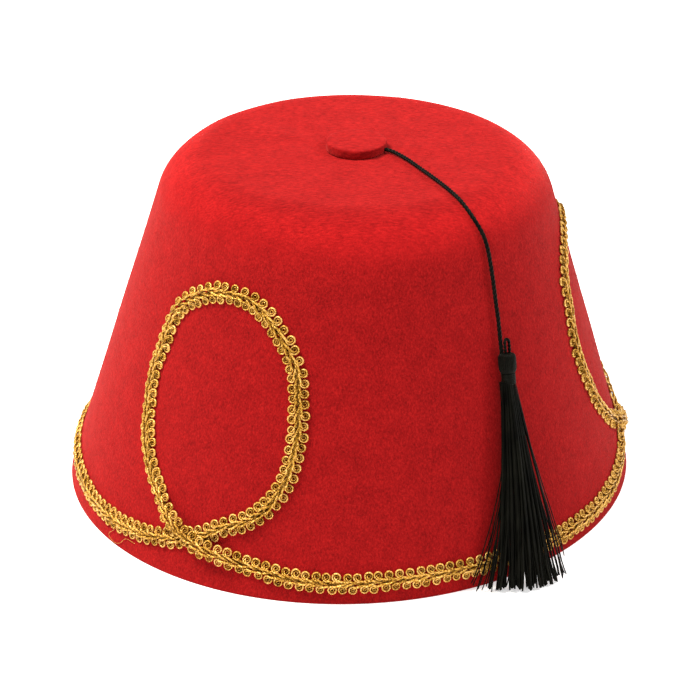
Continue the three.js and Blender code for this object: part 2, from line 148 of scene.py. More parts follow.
# %% [markdown]
# ## Making meshes and running node trees
# Two ways of making a mesh come back all through this lesson.
# One writes points and faces straight into a mesh. The other gives a plain line or surface
# to a Geometry Nodes tree, which repeats a small shape along it.
# The tree's result is turned into an ordinary mesh at once, so the piece that is kept
# carries no modifier.

# %% Helpers for meshes
def put_in(name, data):
    """A new object in the scene, at the origin."""
    thing = bpy.data.objects.new(name, data)
    bpy.context.scene.collection.objects.link(thing)
    return thing


def new_piece(name, points, faces, finish, edges=()):
    """An object at the origin with its place in its mesh. Points are in millimetres."""
    mesh = bpy.data.meshes.new(name)
    mesh.from_pydata((np.asarray(points, float) * MM).tolist(), list(edges), faces)
    mesh.validate()
    if finish is not None:
        mesh.materials.append(finish)
    for polygon in mesh.polygons:
        polygon.use_smooth = True
    return put_in(name, mesh)


def line_carrier(name, lines, tapers, facings=None):
    """A mesh of bare lines for a node tree to run along, with a taper at every point."""
    points = np.vstack(lines)
    edges = []
    start = 0
    for line in lines:
        edges += [(start + i, start + i + 1) for i in range(len(line) - 1)]
        start += len(line)
    carrier = new_piece(name, points, [], None, edges)
    taper = carrier.data.attributes.new("taper", "FLOAT", "POINT")
    taper.data.foreach_set("value", np.concatenate(tapers).astype(np.float32))
    if facings is not None:
        facing = carrier.data.attributes.new("facing", "FLOAT_VECTOR", "POINT")
        facing.data.foreach_set("vector", np.vstack(facings).astype(np.float32).ravel())
    return carrier


# %% Helpers for node trees
def new_tree(name, **inputs):
    """An empty geometry tree with named inputs. Returns it and the sockets of its inputs."""
    tree = bpy.data.node_groups.new(name, "GeometryNodeTree")
    tree.interface.new_socket("Geometry", in_out="INPUT", socket_type="NodeSocketGeometry")
    for label, kind in inputs.items():
        wanted = label.replace("_", " ")
        tree.interface.new_socket(wanted, in_out="INPUT", socket_type="NodeSocket" + kind)
    tree.interface.new_socket("Geometry", in_out="OUTPUT", socket_type="NodeSocketGeometry")
    return tree, tree.nodes.new("NodeGroupInput").outputs


def add(tree, kind, settings=None, **inputs):
    """Adds a node, sets its options, and sets or wires each named input."""
    node = tree.nodes.new(kind)
    for option, value in (settings or {}).items():
        setattr(node, option, value)
    for label, value in inputs.items():
        wanted = label.replace("_", " ")
        socket = next(s for s in node.inputs if s.name == wanted and s.enabled)
        if isinstance(value, bpy.types.NodeSocket):
            tree.links.new(value, socket)
        else:
            socket.default_value = value
    return node


def out_of(node, label):
    """The node's output of that name that its options leave switched on."""
    return next(s for s in node.outputs if s.name == label and s.enabled)


def calculate(tree, operation, first, second=None, third=None):
    """One step of arithmetic. Each value is a number or another node's output."""
    node = tree.nodes.new("ShaderNodeMath")
    node.operation = operation
    for socket, value in zip(node.inputs, (first, second, third)):
        if isinstance(value, bpy.types.NodeSocket):
            tree.links.new(value, socket)
        elif value is not None:
            socket.default_value = value
    return node.outputs[0]


def on_vectors(tree, operation, first, second):
    """One step of arithmetic on vectors. Scale takes a number as its second value."""
    node = tree.nodes.new("ShaderNodeVectorMath")
    node.operation = operation
    tree.links.new(first, node.inputs[0])
    tree.links.new(second, node.inputs["Scale" if operation == "SCALE" else 1])
    return node.outputs[0]


def random_between(tree, least, most, seed, kind="FLOAT"):
    """A random number for each point or instance, or three as a vector."""
    node = add(tree, "FunctionNodeRandomValue", {"data_type": kind}, Min=least, Max=most, Seed=seed)
    return out_of(node, "Value")


def stored(tree, geometry, name, value, domain="POINT"):
    """Keeps a number under a name, for the finish or a later step to read."""
    settings = {"data_type": "FLOAT", "domain": domain}
    node = add(tree, "GeometryNodeStoreNamedAttribute", settings, Geometry=geometry, Name=name, Value=value)
    return node.outputs[0]


def turned_by(tree, rotation, angles):
    """A rotation, turned further about its own axes."""
    own = tree.nodes.new("FunctionNodeEulerToRotation")
    tree.links.new(angles, own.inputs[0])
    node = tree.nodes.new("FunctionNodeRotateRotation")
    node.rotation_space = "LOCAL"
    tree.links.new(rotation, node.inputs[0])
    tree.links.new(own.outputs[0], node.inputs[1])
    return node.outputs[0]


def finish_tree(tree, geometry, finish):
    """Ends a tree as the export needs it: realized, smooth and with its finish."""
    realized = add(tree, "GeometryNodeRealizeInstances", Geometry=geometry)
    smooth = add(tree, "GeometryNodeSetShadeSmooth", Geometry=realized.outputs[0])
    finished = add(tree, "GeometryNodeSetMaterial", Geometry=smooth.outputs[0], Material=finish)
    end = tree.nodes.new("NodeGroupOutput")
    tree.links.new(finished.outputs[0], end.inputs[0])


def grown(name, carrier, tree, values):
    """Runs the tree on the carrier and keeps the result as a plain mesh piece."""
    modifier = carrier.modifiers.new(name, "NODES")
    modifier.node_group = tree
    known = {
        item.name: item.identifier
        for item in tree.interface.items_tree
        if item.in_out == "INPUT"
    }
    for label, value in values.items():
        modifier[known[label]] = value
    bpy.context.view_layer.update()
    evaluated = carrier.evaluated_get(bpy.context.evaluated_depsgraph_get())
    mesh = bpy.data.meshes.new_from_object(evaluated)
    mesh.name = name
    bpy.data.objects.remove(carrier)
    mesh.calc_loop_triangles()
    print(f"{name}: {len(mesh.loop_triangles)} triangles")
    return put_in(name, mesh)


# %% [markdown]
# ## Thread
# Cord, tassel and braid are all thread: a line swept with a small round section.
# A twisted cord is three such threads that circle a middle line as they go along it.
# One tree can do both, because a single thread is a cord of one ply with no turn to its lay.

# %% The tree that sweeps thread along lines
def sweep(tree, line, sides, radius):
    """A round thread along a line, with its length kept for the finish to read."""
    length = add(tree, "GeometryNodeSplineParameter").outputs["Length"]
    marked = stored(tree, line, "along", length)
    taper = add(tree, "GeometryNodeInputNamedAttribute", {"data_type": "FLOAT"}, Name="taper")
    thickness = calculate(tree, "MULTIPLY", out_of(taper, "Attribute"), radius)
    thick = add(tree, "GeometryNodeSetCurveRadius", Curve=marked, Radius=thickness)
    ring = add(tree, "GeometryNodeCurvePrimitiveCircle", {"mode": "RADIUS"}, Resolution=sides, Radius=1.0)
    swept = add(
        tree,
        "GeometryNodeCurveToMesh",
        Curve=thick.outputs[0],
        Profile_Curve=ring.outputs[0],
        Scale=add(tree, "GeometryNodeInputRadius").outputs[0],
        Fill_Caps=True,
    )
    return swept.outputs[0]


def strand_tree():
    """Twists plies round each line of the carrier."""
    tree, given = new_tree(
        "strand",
        Plies="Int",
        Lay_length="Float",
        Lay_radius="Float",
        Thread_radius="Float",
        Step="Float",
        Sides="Int",
        Finish="Material",
    )
    line = add(tree, "GeometryNodeMeshToCurve", Mesh=given["Geometry"])
    fine = add(
        tree,
        "GeometryNodeResampleCurve",
        {"mode": "LENGTH"},
        Curve=line.outputs[0],
        Length=given["Step"],
    )
    copies = add(
        tree,
        "GeometryNodeDuplicateElements",
        {"domain": "SPLINE"},
        Geometry=fine.outputs[0],
        Amount=given["Plies"],
    )
    travelled = add(tree, "GeometryNodeSplineParameter").outputs["Length"]
    laid = calculate(tree, "DIVIDE", travelled, given["Lay length"])
    share = calculate(tree, "DIVIDE", copies.outputs["Duplicate Index"], given["Plies"])
    turns = calculate(tree, "ADD", laid, share)
    angle = calculate(tree, "MULTIPLY", turns, math.tau)
    tangent = add(tree, "GeometryNodeInputTangent").outputs[0]
    normal = add(tree, "GeometryNodeInputNormal").outputs["Normal"]
    beside = on_vectors(tree, "CROSS_PRODUCT", tangent, normal)
    shifts = []
    for direction, wave in ((normal, "COSINE"), (beside, "SINE")):
        reach = calculate(tree, "MULTIPLY", calculate(tree, wave, angle), given["Lay radius"])
        shifts.append(on_vectors(tree, "SCALE", direction, reach))
    offset = on_vectors(tree, "ADD", *shifts)
    twisted = add(tree, "GeometryNodeSetPosition", Geometry=copies.outputs[0], Offset=offset)
    thread = sweep(tree, twisted.outputs[0], given["Sides"], given["Thread radius"])
    finish_tree(tree, thread, given["Finish"])
    return tree


STRAND = strand_tree()


def strand(name, lines, tapers, finish, thread_radius, step, sides, plies=1, lay=(1.0, 0.0)):
    """Thread along lines given in millimetres. Lay is one turn's length and its radius."""
    carrier = line_carrier(name + "_line", lines, tapers)
    values = {
        "Plies": plies,
        "Lay length": lay[0] * MM,
        "Lay radius": lay[1] * MM,
        "Thread radius": thread_radius * MM,
        "Step": step * MM,
        "Sides": sides,
        "Finish": finish,
    }
    return grown(name, carrier, STRAND, values)


# %% Helpers for finishes
WHITE = (1.0, 1.0, 1.0, 1.0)


def set_inputs(node, values):
    """Sets a node's inputs by name."""
    for label, value in values.items():
        node.inputs[label].default_value = value


def new_finish(name, roughness, specular, metallic=0.0):
    """A plain finish. Returns its material, its node tree and its shader."""
    material = bpy.data.materials.new(name)
    material.use_nodes = True
    shader = material.node_tree.nodes["Principled BSDF"]
    set_inputs(shader, {"Roughness": roughness, "Specular IOR Level": specular, "Metallic": metallic})
    return material, material.node_tree, shader


NO_STRETCH = (1.0, 1.0, 1.0)
NO_SPIN = (0.0, 0.0, 0.0)


def noise(nodes, place, scale, detail=3.0, roughness=0.6, stretch=NO_STRETCH, spin=NO_SPIN, curl=0.0):
    """A noise on Object coordinates, which may be stretched into fibres and curled."""
    mapping = add(nodes, "ShaderNodeMapping", Vector=place, Rotation=spin, Scale=stretch)
    return add(
        nodes,
        "ShaderNodeTexNoise",
        Vector=mapping.outputs[0],
        Scale=scale,
        Detail=detail,
        Roughness=roughness,
        Distortion=curl,
    ).outputs[0]


def ramp(nodes, factor, stops, blend="LINEAR"):
    """Colours laid along a value. Each stop is a place and a linear colour."""
    node = nodes.nodes.new("ShaderNodeValToRGB")
    nodes.links.new(factor, node.inputs[0])
    node.color_ramp.interpolation = blend
    bar = node.color_ramp.elements
    while len(bar) < len(stops):
        bar.new(0.5)
    for element, (place, colour) in zip(bar, stops):
        element.position = place
        element.color = (*colour, 1.0)
    return node.outputs[0]


def object_place(nodes):
    """The point's own place on the piece, so that a finish stays put when the hat moves."""
    return nodes.nodes.new("ShaderNodeTexCoord").outputs["Object"]


def attribute(nodes, name):
    """A number that a piece carries under a name."""
    node = nodes.nodes.new("ShaderNodeAttribute")
    node.attribute_name = name
    return node.outputs["Fac"]


def sheen(shader, weight, roughness, tint=WHITE):
    """Light caught by fine fibres that stand off the surface."""
    set_inputs(shader, {"Sheen Weight": weight, "Sheen Roughness": roughness, "Sheen Tint": tint})


def bump(nodes, height, strength, distance, under=None):
    """Small relief in the finish, in millimetres. It may be laid over another one."""
    node = add(nodes, "ShaderNodeBump", Height=height, Strength=strength, Distance=distance * MM)
    if under is not None:
        nodes.links.new(under, node.inputs["Normal"])
    return node.outputs[0]


# %% [markdown]
# ## Black thread
# The tassel and its cord are rayon: black, smooth and silky, so it shows long soft glints.
# A dark shader with a fairly low roughness gives those, and a slow change of the shade along
# each thread keeps hundreds of them from looking like one.

# %% Black thread finish
def black_thread_finish():
    material, nodes, shader = new_finish("black_thread", 0.38, 0.04)
    place = object_place(nodes)
    shade = noise(nodes, place, 260.0, stretch=(1.0, 1.0, 0.12))
    colour = ramp(nodes, shade, [(0.3, (0.001, 0.001, 0.0007)), (0.7, (0.0065, 0.0063, 0.0042))])
    nodes.links.new(colour, shader.inputs["Base Color"])
    fibres = noise(nodes, place, 3500.0)
    nodes.links.new(bump(nodes, fibres, 0.35, 0.1), shader.inputs["Normal"])
    sheen(shader, 0.01, 0.4)
    return material


BLACK_THREAD = black_thread_finish()

# %% [markdown]
# ## The cord
# A thin twisted cord comes out from under the button, lies on the top, bends over the
# shoulder and hangs down the wall to the tassel. It is not simulated, because the
# photograph shows just where it lies. It runs on through the tassel's head and ends
# inside the skirt, out of sight.

# %% Lay the cord
CORD_DIAMETER = 1.4
CORD_PLY_RADIUS = 0.36
CORD_LAY_LENGTH = 4.4
TASSEL_THROAT = (48.6, -65.3, 53.2)
# Columns: x, y and z
CORD_ROUTE = [
    (7.6, -2.5, 114.7),
    (9.6, -2.9, 114.7),
    (11.6, -3.5, 114.7),
    (13.6, -5.0, 114.7),
    (16.0, -8.1, 114.7),
    (19.1, -13.1, 114.7),
    (22.1, -18.9, 114.7),
    (25.1, -24.6, 114.7),
    (28.0, -30.4, 114.7),
    (30.9, -36.6, 114.6),
    (33.7, -41.8, 113.8),
    (36.2, -45.5, 111.8),
    (38.3, -47.8, 109.3),
    (40.1, -49.3, 106.7),
    (41.4, -50.5, 104.0),
    (42.3, -51.4, 101.0),
    (43.0, -52.3, 97.5),
    (43.7, -53.2, 93.5),
    (44.4, -54.3, 88.9),
    (45.0, -55.3, 84.7),
    (45.7, -56.5, 80.2),
    (46.2, -57.6, 76.0),
    (46.6, -58.8, 72.4),
    (46.9, -59.6, 70.3),
]


def smooth_line(points, per_span):
    """A rounded line through points, which passes over all but the first and the last."""
    points = np.asarray(points, float)
    before, start, end, after = points[:-3], points[1:-2], points[2:-1], points[3:]
    spans = ((before, start), (start, end), (end, after))
    first, middle, last = [np.sqrt(np.linalg.norm(b - a, axis=1))[:, None] for a, b in spans]
    leaving = ((start - before) / first - (end - before) / (first + middle) + (end - start) / middle) * middle
    coming = ((end - start) / middle - (after - start) / (middle + last) + (after - end) / last) * middle
    t = np.linspace(0, 1, per_span, endpoint=False)[None, :, None]
    start, end, leaving, coming = (a[:, None, :] for a in (start, end, leaving, coming))
    placed = (
        (2 * t**3 - 3 * t**2 + 1) * start
        + (t**3 - 2 * t**2 + t) * leaving
        + (3 * t**2 - 2 * t**3) * end
        + (t**3 - t**2) * coming
    )
    return np.vstack([placed.reshape(-1, points.shape[1]), points[-2]])


def with_ends(points):
    """Adds a point before and after, so that a rounded line reaches both ends."""
    points = np.asarray(points, float)
    return np.vstack([2 * points[0] - points[1], points, 2 * points[-1] - points[-2]])


def length_of(line):
    return float(np.linalg.norm(np.diff(line, axis=0), axis=1).sum())


shown_line = smooth_line(with_ends(CORD_ROUTE), 6)
into_head = np.linspace(shown_line[-1], TASSEL_THROAT, 14)[1:]
cord_line = np.vstack([shown_line, into_head])
tassel_cord = strand(
    "tassel_cord_plies",
    [cord_line],
    [np.ones(len(cord_line))],
    BLACK_THREAD,
    CORD_PLY_RADIUS,
    step=0.4,
    sides=8,
    plies=3,
    lay=(CORD_LAY_LENGTH, CORD_DIAMETER / 2 - CORD_PLY_RADIUS),
)

# %% [markdown]
# ## Felt
# Felt is wool fibres matted under pressure, so it has no threads and no pattern.
# What shows is a fine mottling, lighter and darker, a few longer fibres that lie this way and
# that, and a soft bright rim where fibres stand up against the light.
# The finish mottles the colour with noise, lays stretched noises over it as fibres, and uses
# sheen for the rim. The top was brushed one way, so its streaks lie level. A band round the
# shoulder is painted a good quarter lighter than the wall below and the top above it:
# painted light, for the brighter light that the shoulder catches.

# %% Felt finish
BRUSHED_FROM = 98.0
BRUSHED_OVER = 14.0
# The shoulder's painted light: the felt's colour is lifted in a band between these heights, by the shares
# below.
PAINTED_LIGHT_FROM = 94.5
PAINTED_LIGHT_OVER = 18.9
SHOULDER_PAINTED_LIGHT = [
    {"place": 0.0, "share": 0.745},
    {"place": 0.45, "share": 0.88},
    {"place": 0.7, "share": 1.0},
    {"place": 0.82, "share": 1.0},
    {"place": 0.93, "share": 0.88},
    {"place": 1.0, "share": 0.745},
]
# Columns: place on the ramp, linear colour
FELT_COLOURS = [
    (0.28, (0.235, 0.003, 0.0036)),
    (0.5, (0.403, 0.0066, 0.0078)),
    (0.72, (0.583, 0.0134, 0.013)),
]


def red_felt_finish():
    material, nodes, shader = new_finish("red_felt", 0.95, 0.06)
    place = object_place(nodes)
    height = add(nodes, "ShaderNodeSeparateXYZ", Vector=place).outputs["Z"]
    above = calculate(nodes, "SUBTRACT", height, BRUSHED_FROM * MM)
    on_top = calculate(nodes, "DIVIDE", above, BRUSHED_OVER * MM)
    on_top = calculate(nodes, "MINIMUM", calculate(nodes, "MAXIMUM", on_top, 0.0), 1.0)
    brushed = noise(nodes, place, 1700.0, detail=4.0, roughness=0.65, stretch=(0.3, 1.0, 1.0))
    matted = noise(
        nodes,
        place,
        1900.0,
        detail=4.0,
        roughness=0.62,
        stretch=(1.0, 1.0, 0.6),
        spin=(0.0, 0.6, 0.0),
        curl=0.4,
    )
    difference = calculate(nodes, "SUBTRACT", brushed, matted)
    fine = calculate(nodes, "MULTIPLY_ADD", difference, on_top, matted)
    broad = noise(nodes, place, 170.0)
    both = calculate(nodes, "MULTIPLY_ADD", fine, 0.92, -0.08)
    both = calculate(nodes, "MULTIPLY_ADD", broad, 0.24, both)
    colour = ramp(nodes, both, FELT_COLOURS)
    # Painted light: the colour is lifted in the band round the shoulder.
    rising = calculate(nodes, "SUBTRACT", height, PAINTED_LIGHT_FROM * MM)
    rising = calculate(nodes, "DIVIDE", rising, PAINTED_LIGHT_OVER * MM)
    painted_light = ramp(nodes, rising, [(row["place"], [row["share"]] * 3) for row in SHOULDER_PAINTED_LIGHT], "B_SPLINE")
    nodes.links.new(on_vectors(nodes, "MULTIPLY", colour, painted_light), shader.inputs["Base Color"])
    set_inputs(shader, {"Diffuse Roughness": 1.0})
    grain = noise(nodes, place, 1500.0, detail=5.0, roughness=0.7)
    across = noise(nodes, place, 420.0, stretch=(0.18, 1.0, 1.0), spin=(0.0, 0.0, 0.3))
    along = noise(nodes, place, 420.0, stretch=(1.0, 0.2, 1.0), spin=(0.4, 0.0, -0.5))
    relief = bump(nodes, grain, 0.5, 0.25)
    relief = bump(nodes, calculate(nodes, "ADD", across, along), 0.35, 0.4, relief)
    nodes.links.new(relief, shader.inputs["Normal"])
    sheen(shader, 0.1, 0.45, (1.0, 0.35, 0.3, 1.0))
    return material


RED_FELT = red_felt_finish()

# %% [markdown]
# ## The crown
# A fez has no seam: a felt cone is pressed over a heated metal block until it keeps the
# block's form, and the hem is cut level.
# A turned profile gives that form at once, so the crown is a stack of rings: down the inside,
# round the cut hem, up the wall, over the shoulder and in to the middle of the top.
# Slow ripples of a tenth of a millimetre or two keep the wall from looking machined.

# %% Form the crown
CROWN_SIDES = 300
HEM_ROUND = 0.7
RIPPLE = 0.1
RIPPLE_WAVES = 14
RIPPLE_FADE = 25.0
RING_COUNTS = {
    "top_inside": 7,
    "shoulder_inside": 9,
    "wall_inside": 16,
    "hem": 9,
    "wall": 76,
    "shoulder": 24,
    "top": 26,
}
FULL_SLANT = WALL_LENGTH + SHOULDER_LENGTH + FLAT_RADIUS
ripples = np.random.default_rng(11)
RIPPLE_TABLE = [
    (int(waves), float(slants), float(phase), float(tilt))
    for waves, slants, phase, tilt in zip(
        ripples.integers(2, 15, RIPPLE_WAVES),
        ripples.uniform(22, 90, RIPPLE_WAVES),
        ripples.uniform(0, math.tau, RIPPLE_WAVES),
        ripples.uniform(-1, 1, RIPPLE_WAVES),
    )
]


def felt_ripple(turn, slant):
    """How far the felt stands out of its ideal form, mostly a little inside it."""
    total = 0.0
    for waves, slants, phase, tilt in RIPPLE_TABLE:
        total = total + np.sin(waves * turn + phase + math.tau * slant / slants * tilt)
    fade = np.clip((FULL_SLANT - slant) / RIPPLE_FADE, 0, 1)
    return RIPPLE * (total / math.sqrt(RIPPLE_WAVES) - 1.0) * fade


def crown_rings():
    """Rings of the felt cup from the inside's middle to the outside's middle."""
    turn = np.linspace(0, math.tau, CROWN_SIDES, endpoint=False)
    shoulder_end = WALL_LENGTH + SHOULDER_LENGTH
    inside = [
        FULL_SLANT - np.geomspace(3, FLAT_RADIUS, RING_COUNTS["top_inside"]),
        np.linspace(shoulder_end, WALL_LENGTH, RING_COUNTS["shoulder_inside"])[1:],
        np.linspace(WALL_LENGTH, HEM_ROUND, RING_COUNTS["wall_inside"])[1:],
    ]
    rings = []
    for slant in np.concatenate(inside):
        rings.append(on_crown(turn, np.full_like(turn, slant), -FELT_THICKNESS))
    for step in np.linspace(0, math.pi, RING_COUNTS["hem"])[1:-1]:
        out = -FELT_THICKNESS / 2 + (FELT_THICKNESS / 2) * -math.cos(step)
        slant = HEM_ROUND * (1 - math.sin(step) ** 0.5)
        rings.append(on_crown(turn, np.full_like(turn, slant), out))
    outside = [
        np.linspace(HEM_ROUND, WALL_LENGTH, RING_COUNTS["wall"]),
        np.linspace(WALL_LENGTH, shoulder_end, RING_COUNTS["shoulder"])[1:],
        FULL_SLANT - np.linspace(FLAT_RADIUS, 2, RING_COUNTS["top"])[1:],
    ]
    for slant in np.concatenate(outside):
        row = np.full_like(turn, slant)
        rings.append(on_crown(turn, row, felt_ripple(turn, row)))
    for ring in rings:
        ring[:, 2] = np.maximum(ring[:, 2], 0)
    return rings


def closed_skin(rings, first_pole, last_pole):
    """Joins rings of equal count into a skin that ends in a point at each side."""
    sides = len(rings[0])
    points = np.vstack([first_pole[None], *rings, last_pole[None]])
    last = len(points) - 1
    faces = [(0, 1 + (side + 1) % sides, 1 + side)[::-1] for side in range(sides)]
    for row in range(len(rings) - 1):
        near = 1 + row * sides
        far = near + sides
        for side in range(sides):
            after = (side + 1) % sides
            faces.append((near + side, near + after, far + after, far + side))
    base = 1 + (len(rings) - 1) * sides
    faces += [(base + side, base + (side + 1) % sides, last) for side in range(sides)]
    return points, faces


rings = crown_rings()
inside_pole = np.array([TOP_LEAN, 0, CROWN_HEIGHT - FELT_THICKNESS])
outside_pole = np.array([TOP_LEAN, 0, CROWN_HEIGHT])
crown = new_piece("crown_felt", *closed_skin(rings, inside_pole, outside_pole), RED_FELT)
print(f"crown: {len(rings)} rings of {CROWN_SIDES} points")

# %% [markdown]
# ## The button
# A disc cut from the same felt covers the end of the cord in the middle of the top.
# It is a turned form too, with a crisp upper edge, a straight cut side and a slightly
# uneven rim, as scissors leave it.

# %% Cut the button
BUTTON_RADIUS = 9.85
BUTTON_THICKNESS = 2.7
BUTTON_SIDES = 120
BUTTON_DISH = 0.12
SEAT_GAP = 0.3
# Columns: share of the radius, share of the thickness
BUTTON_PROFILE = [
    (0.25, 0.0),
    (0.6, 0.0),
    (0.9, 0.0),
    (0.985, 0.02),
    (1.0, 0.1),
    (1.0, 0.35),
    (1.0, 0.6),
    (0.997, 0.85),
    (0.985, 0.96),
    (0.955, 1.0),
    (0.85, 1.0),
    (0.6, 1.0),
    (0.3, 1.0),
]


def button_rings():
    turn = np.linspace(0, math.tau, BUTTON_SIDES, endpoint=False)
    uneven = 1 + 0.004 * np.sin(5 * turn + 1) + 0.004 * np.sin(11 * turn) + 0.002 * np.sin(23 * turn + 2)
    rings = []
    for share, rise in BUTTON_PROFILE:
        radius = BUTTON_RADIUS * share * uneven
        height = CROWN_HEIGHT + SEAT_GAP / 2 + rise * (BUTTON_THICKNESS + SEAT_GAP / 2)
        dish = BUTTON_DISH * np.sin(3 * turn) * share**2 * rise
        x = TOP_LEAN + radius * np.cos(turn)
        rings.append(np.stack([x, radius * np.sin(turn), height - np.abs(dish)], 1))
    return rings


button_foot = np.array([TOP_LEAN, 0, CROWN_HEIGHT + SEAT_GAP / 2])
button_top = np.array([TOP_LEAN, 0, CROWN_HEIGHT + SEAT_GAP + BUTTON_THICKNESS])
button = new_piece("button_felt", *closed_skin(button_rings(), button_foot, button_top), RED_FELT)
print(f"button {2 * BUTTON_RADIUS:.1f} mm across")

# %% [markdown]
# ## Gold thread
# The gimp is wound from a shiny gold thread. It glints nearly white on its outer curves and
# falls to brown in between. Besides its gloss, a fine noise paints small glints and brown
# shade into its colour, over the thread's own uneven tone.
# The thread's shade drifts from stitch to stitch, which a random number stored on each stitch
# gives to the finish. The thin ends, the inner thread and the core get painted shade: the lower
# a thread's taper, the darker its colour, for the shade these parts lie in. A fine ribbing
# along it stands for the twist.

# %% Gold thread finish
GOLD_RIB = 0.9
PAINTED_SHADE_SCALE = 0.26
PAINTED_SHADE_OFFSET = -0.21
SHADE_DRIFT = 0.1
# Columns: place on the ramp, linear colour
GOLD_COLOURS = [
    (0.4, (0.19, 0.076, 0.001)),
    (0.51, (0.55, 0.272, 0.018)),
    (0.62, (0.8, 0.48, 0.14)),
]


def gold_thread_finish():
    material, nodes, shader = new_finish("gold_gimp", 0.36, 0.32, 0.4)
    place = object_place(nodes)
    # Partly the thread's own uneven tone, partly painted glints and painted shade at a fibre's scale.
    mottle_and_glints = noise(nodes, place, 1900.0)
    # Painted shade: the lower the taper, the darker the gold.
    painted_shade = calculate(nodes, "MULTIPLY_ADD", attribute(nodes, "taper"), PAINTED_SHADE_SCALE, PAINTED_SHADE_OFFSET)
    drift = calculate(nodes, "MULTIPLY_ADD", attribute(nodes, "shade"), SHADE_DRIFT, painted_shade)
    both = calculate(nodes, "MULTIPLY_ADD", mottle_and_glints, 0.9, drift)
    nodes.links.new(ramp(nodes, both, GOLD_COLOURS), shader.inputs["Base Color"])
    ribs = calculate(nodes, "MULTIPLY", attribute(nodes, "along"), math.tau / (GOLD_RIB * MM))
    ribbed = bump(nodes, calculate(nodes, "SINE", ribs), 0.35, 0.08)
    fibres = noise(nodes, place, 4200.0)
    nodes.links.new(bump(nodes, fibres, 0.3, 0.08, ribbed), shader.inputs["Normal"])
    return material


GOLD_GIMP = gold_thread_finish()

# %% [markdown]
# ## The path of the braid
# One endless braid goes round the hat. Along the hem it lies in shallow swags, and at three
# places it climbs the wall, turns over at the top, comes down and passes over itself.
# The path is kept as turns and slants, from the same tables as the source's, because a flat
# drawing of the wall is easy to measure from a photograph.

# %% Tables of the braid's path
LOOP_HALF_WIDTH = 29.0
LOOP_HEIGHT = 78.1
CROSSING_SLANT = 14.2
SWAG_SLANT = 6.8
BRAID_WIDTH = 7.2
BRAID_THICKNESS = 1.2
# Columns: share of the half width, share of the height
LOOP_ROUTE = [
    (0.02, 0.0),
    (0.4, 0.078),
    (0.75, 0.155),
    (0.97, 0.28),
    (1.02, 0.44),
    (0.98, 0.6),
    (0.87, 0.757),
    (0.61, 0.892),
    (0.3, 0.981),
    (-0.05, 1.0),
    (-0.44, 0.95),
    (-0.73, 0.851),
    (-0.84, 0.72),
    (-0.93, 0.58),
    (-0.9, 0.43),
    (-0.77, 0.266),
    (-0.5, 0.133),
    (0.02, 0.0),
    (0.37, -0.029),
]
CROSSING_ROW = 17
PATH_STEPS = 12
HUMP_LEVEL = 1.2 * BRAID_WIDTH
HUMP_RAMP = 1.5 * BRAID_WIDTH
# Columns: share of the way to the next loop, share of the swag's slant
SWAG_ROUTE = [
    (0.124, 1.4),
    (0.195, 1.1),
    (0.26, 1.0),
    (0.35, 1.06),
    (0.47, 1.06),
    (0.57, 0.99),
    (0.68, 0.91),
    (0.77, 0.91),
    (0.835, 1.05),
    (0.89, 1.24),
    (0.94, 1.52),
]
LOOPS = [
    {"name": "left", "turn": 236.3, "left": 1.0, "right": 1.0, "height": 1.0, "lift": 0.0},
    {"name": "right", "turn": 359.2, "left": 1.1, "right": 1.03, "height": 1.03, "lift": 0.15},
    {"name": "back", "turn": 477.7, "left": 1.05, "right": 1.0, "height": 1.0, "lift": 0.5},
]


# %% Draw the braid's path
def braid_controls():
    """The path's turns and slants over all loops, and which rows cross over."""
    rows = []
    crossings = []
    for index, loop in enumerate(LOOPS):
        following = LOOPS[(index + 1) % len(LOOPS)]
        wrap = 360 if index + 1 == len(LOOPS) else 0
        middle = math.radians(loop["turn"])
        gap = math.radians(following["turn"] + wrap - loop["turn"])
        for row, (across, up) in enumerate(LOOP_ROUTE):
            slant = CROSSING_SLANT + up * loop["height"] * LOOP_HEIGHT
            reach = across * loop["left" if across < 0 else "right"] * LOOP_HALF_WIDTH
            if row == CROSSING_ROW:
                crossings.append(len(rows))
            rows.append((middle + reach / float(meridian(slant, 0)[0]), slant))
        for along, rise in SWAG_ROUTE:
            lift = loop["lift"] * math.sin(math.pi * along) ** 2
            rows.append((middle + along * gap, (rise + lift) * SWAG_SLANT))
    return np.array(rows), crossings


def braid_path():
    """Fine points of the endless path: turns, slants, lengths so far and the crossings' lengths."""
    rows, crossings = braid_controls()
    flat = rows * (HEM_RADIUS, 1.0)
    lap = np.array([math.tau * HEM_RADIUS, 0.0])
    fine = smooth_line(np.vstack([flat[-1] - lap, flat, flat[0] + lap, flat[1] + lap]), PATH_STEPS)
    turn, slant = fine[:, 0] / HEM_RADIUS, fine[:, 1]
    spot = on_crown(turn, slant, 0.0)
    travelled = np.concatenate([[0], np.cumsum(np.linalg.norm(np.diff(spot, axis=0), axis=1))])
    return turn, slant, travelled, [travelled[row * PATH_STEPS] for row in crossings]


path_turn, path_slant, path_travelled, path_crossings = braid_path()
braid_length = path_travelled[-1]
print(f"braid {braid_length:.0f} mm long, passing over itself at {np.round(path_crossings)}")

# %% [markdown]
# ## One stitch of the gimp
# Seen close, each edge of the gimp is a row of small rings. Two threads come side by side along
# the middle and make one ring at the edge, the inner one filling most of it. They cross over
# themselves and run on along the middle, where they lie on the threads of the next ring.
# That overlapping makes the plaited spine.
# So one stitch is two short bent lines. The two edges are the same stitch, mirrored.

# %% Bend one stitch
STITCH_PITCH = 3.28
STITCH_THREAD = 0.3
STITCH_HEIGHT = 1.45
STITCH_UNEVEN = 0.05
CORE_RADIUS = 0.6
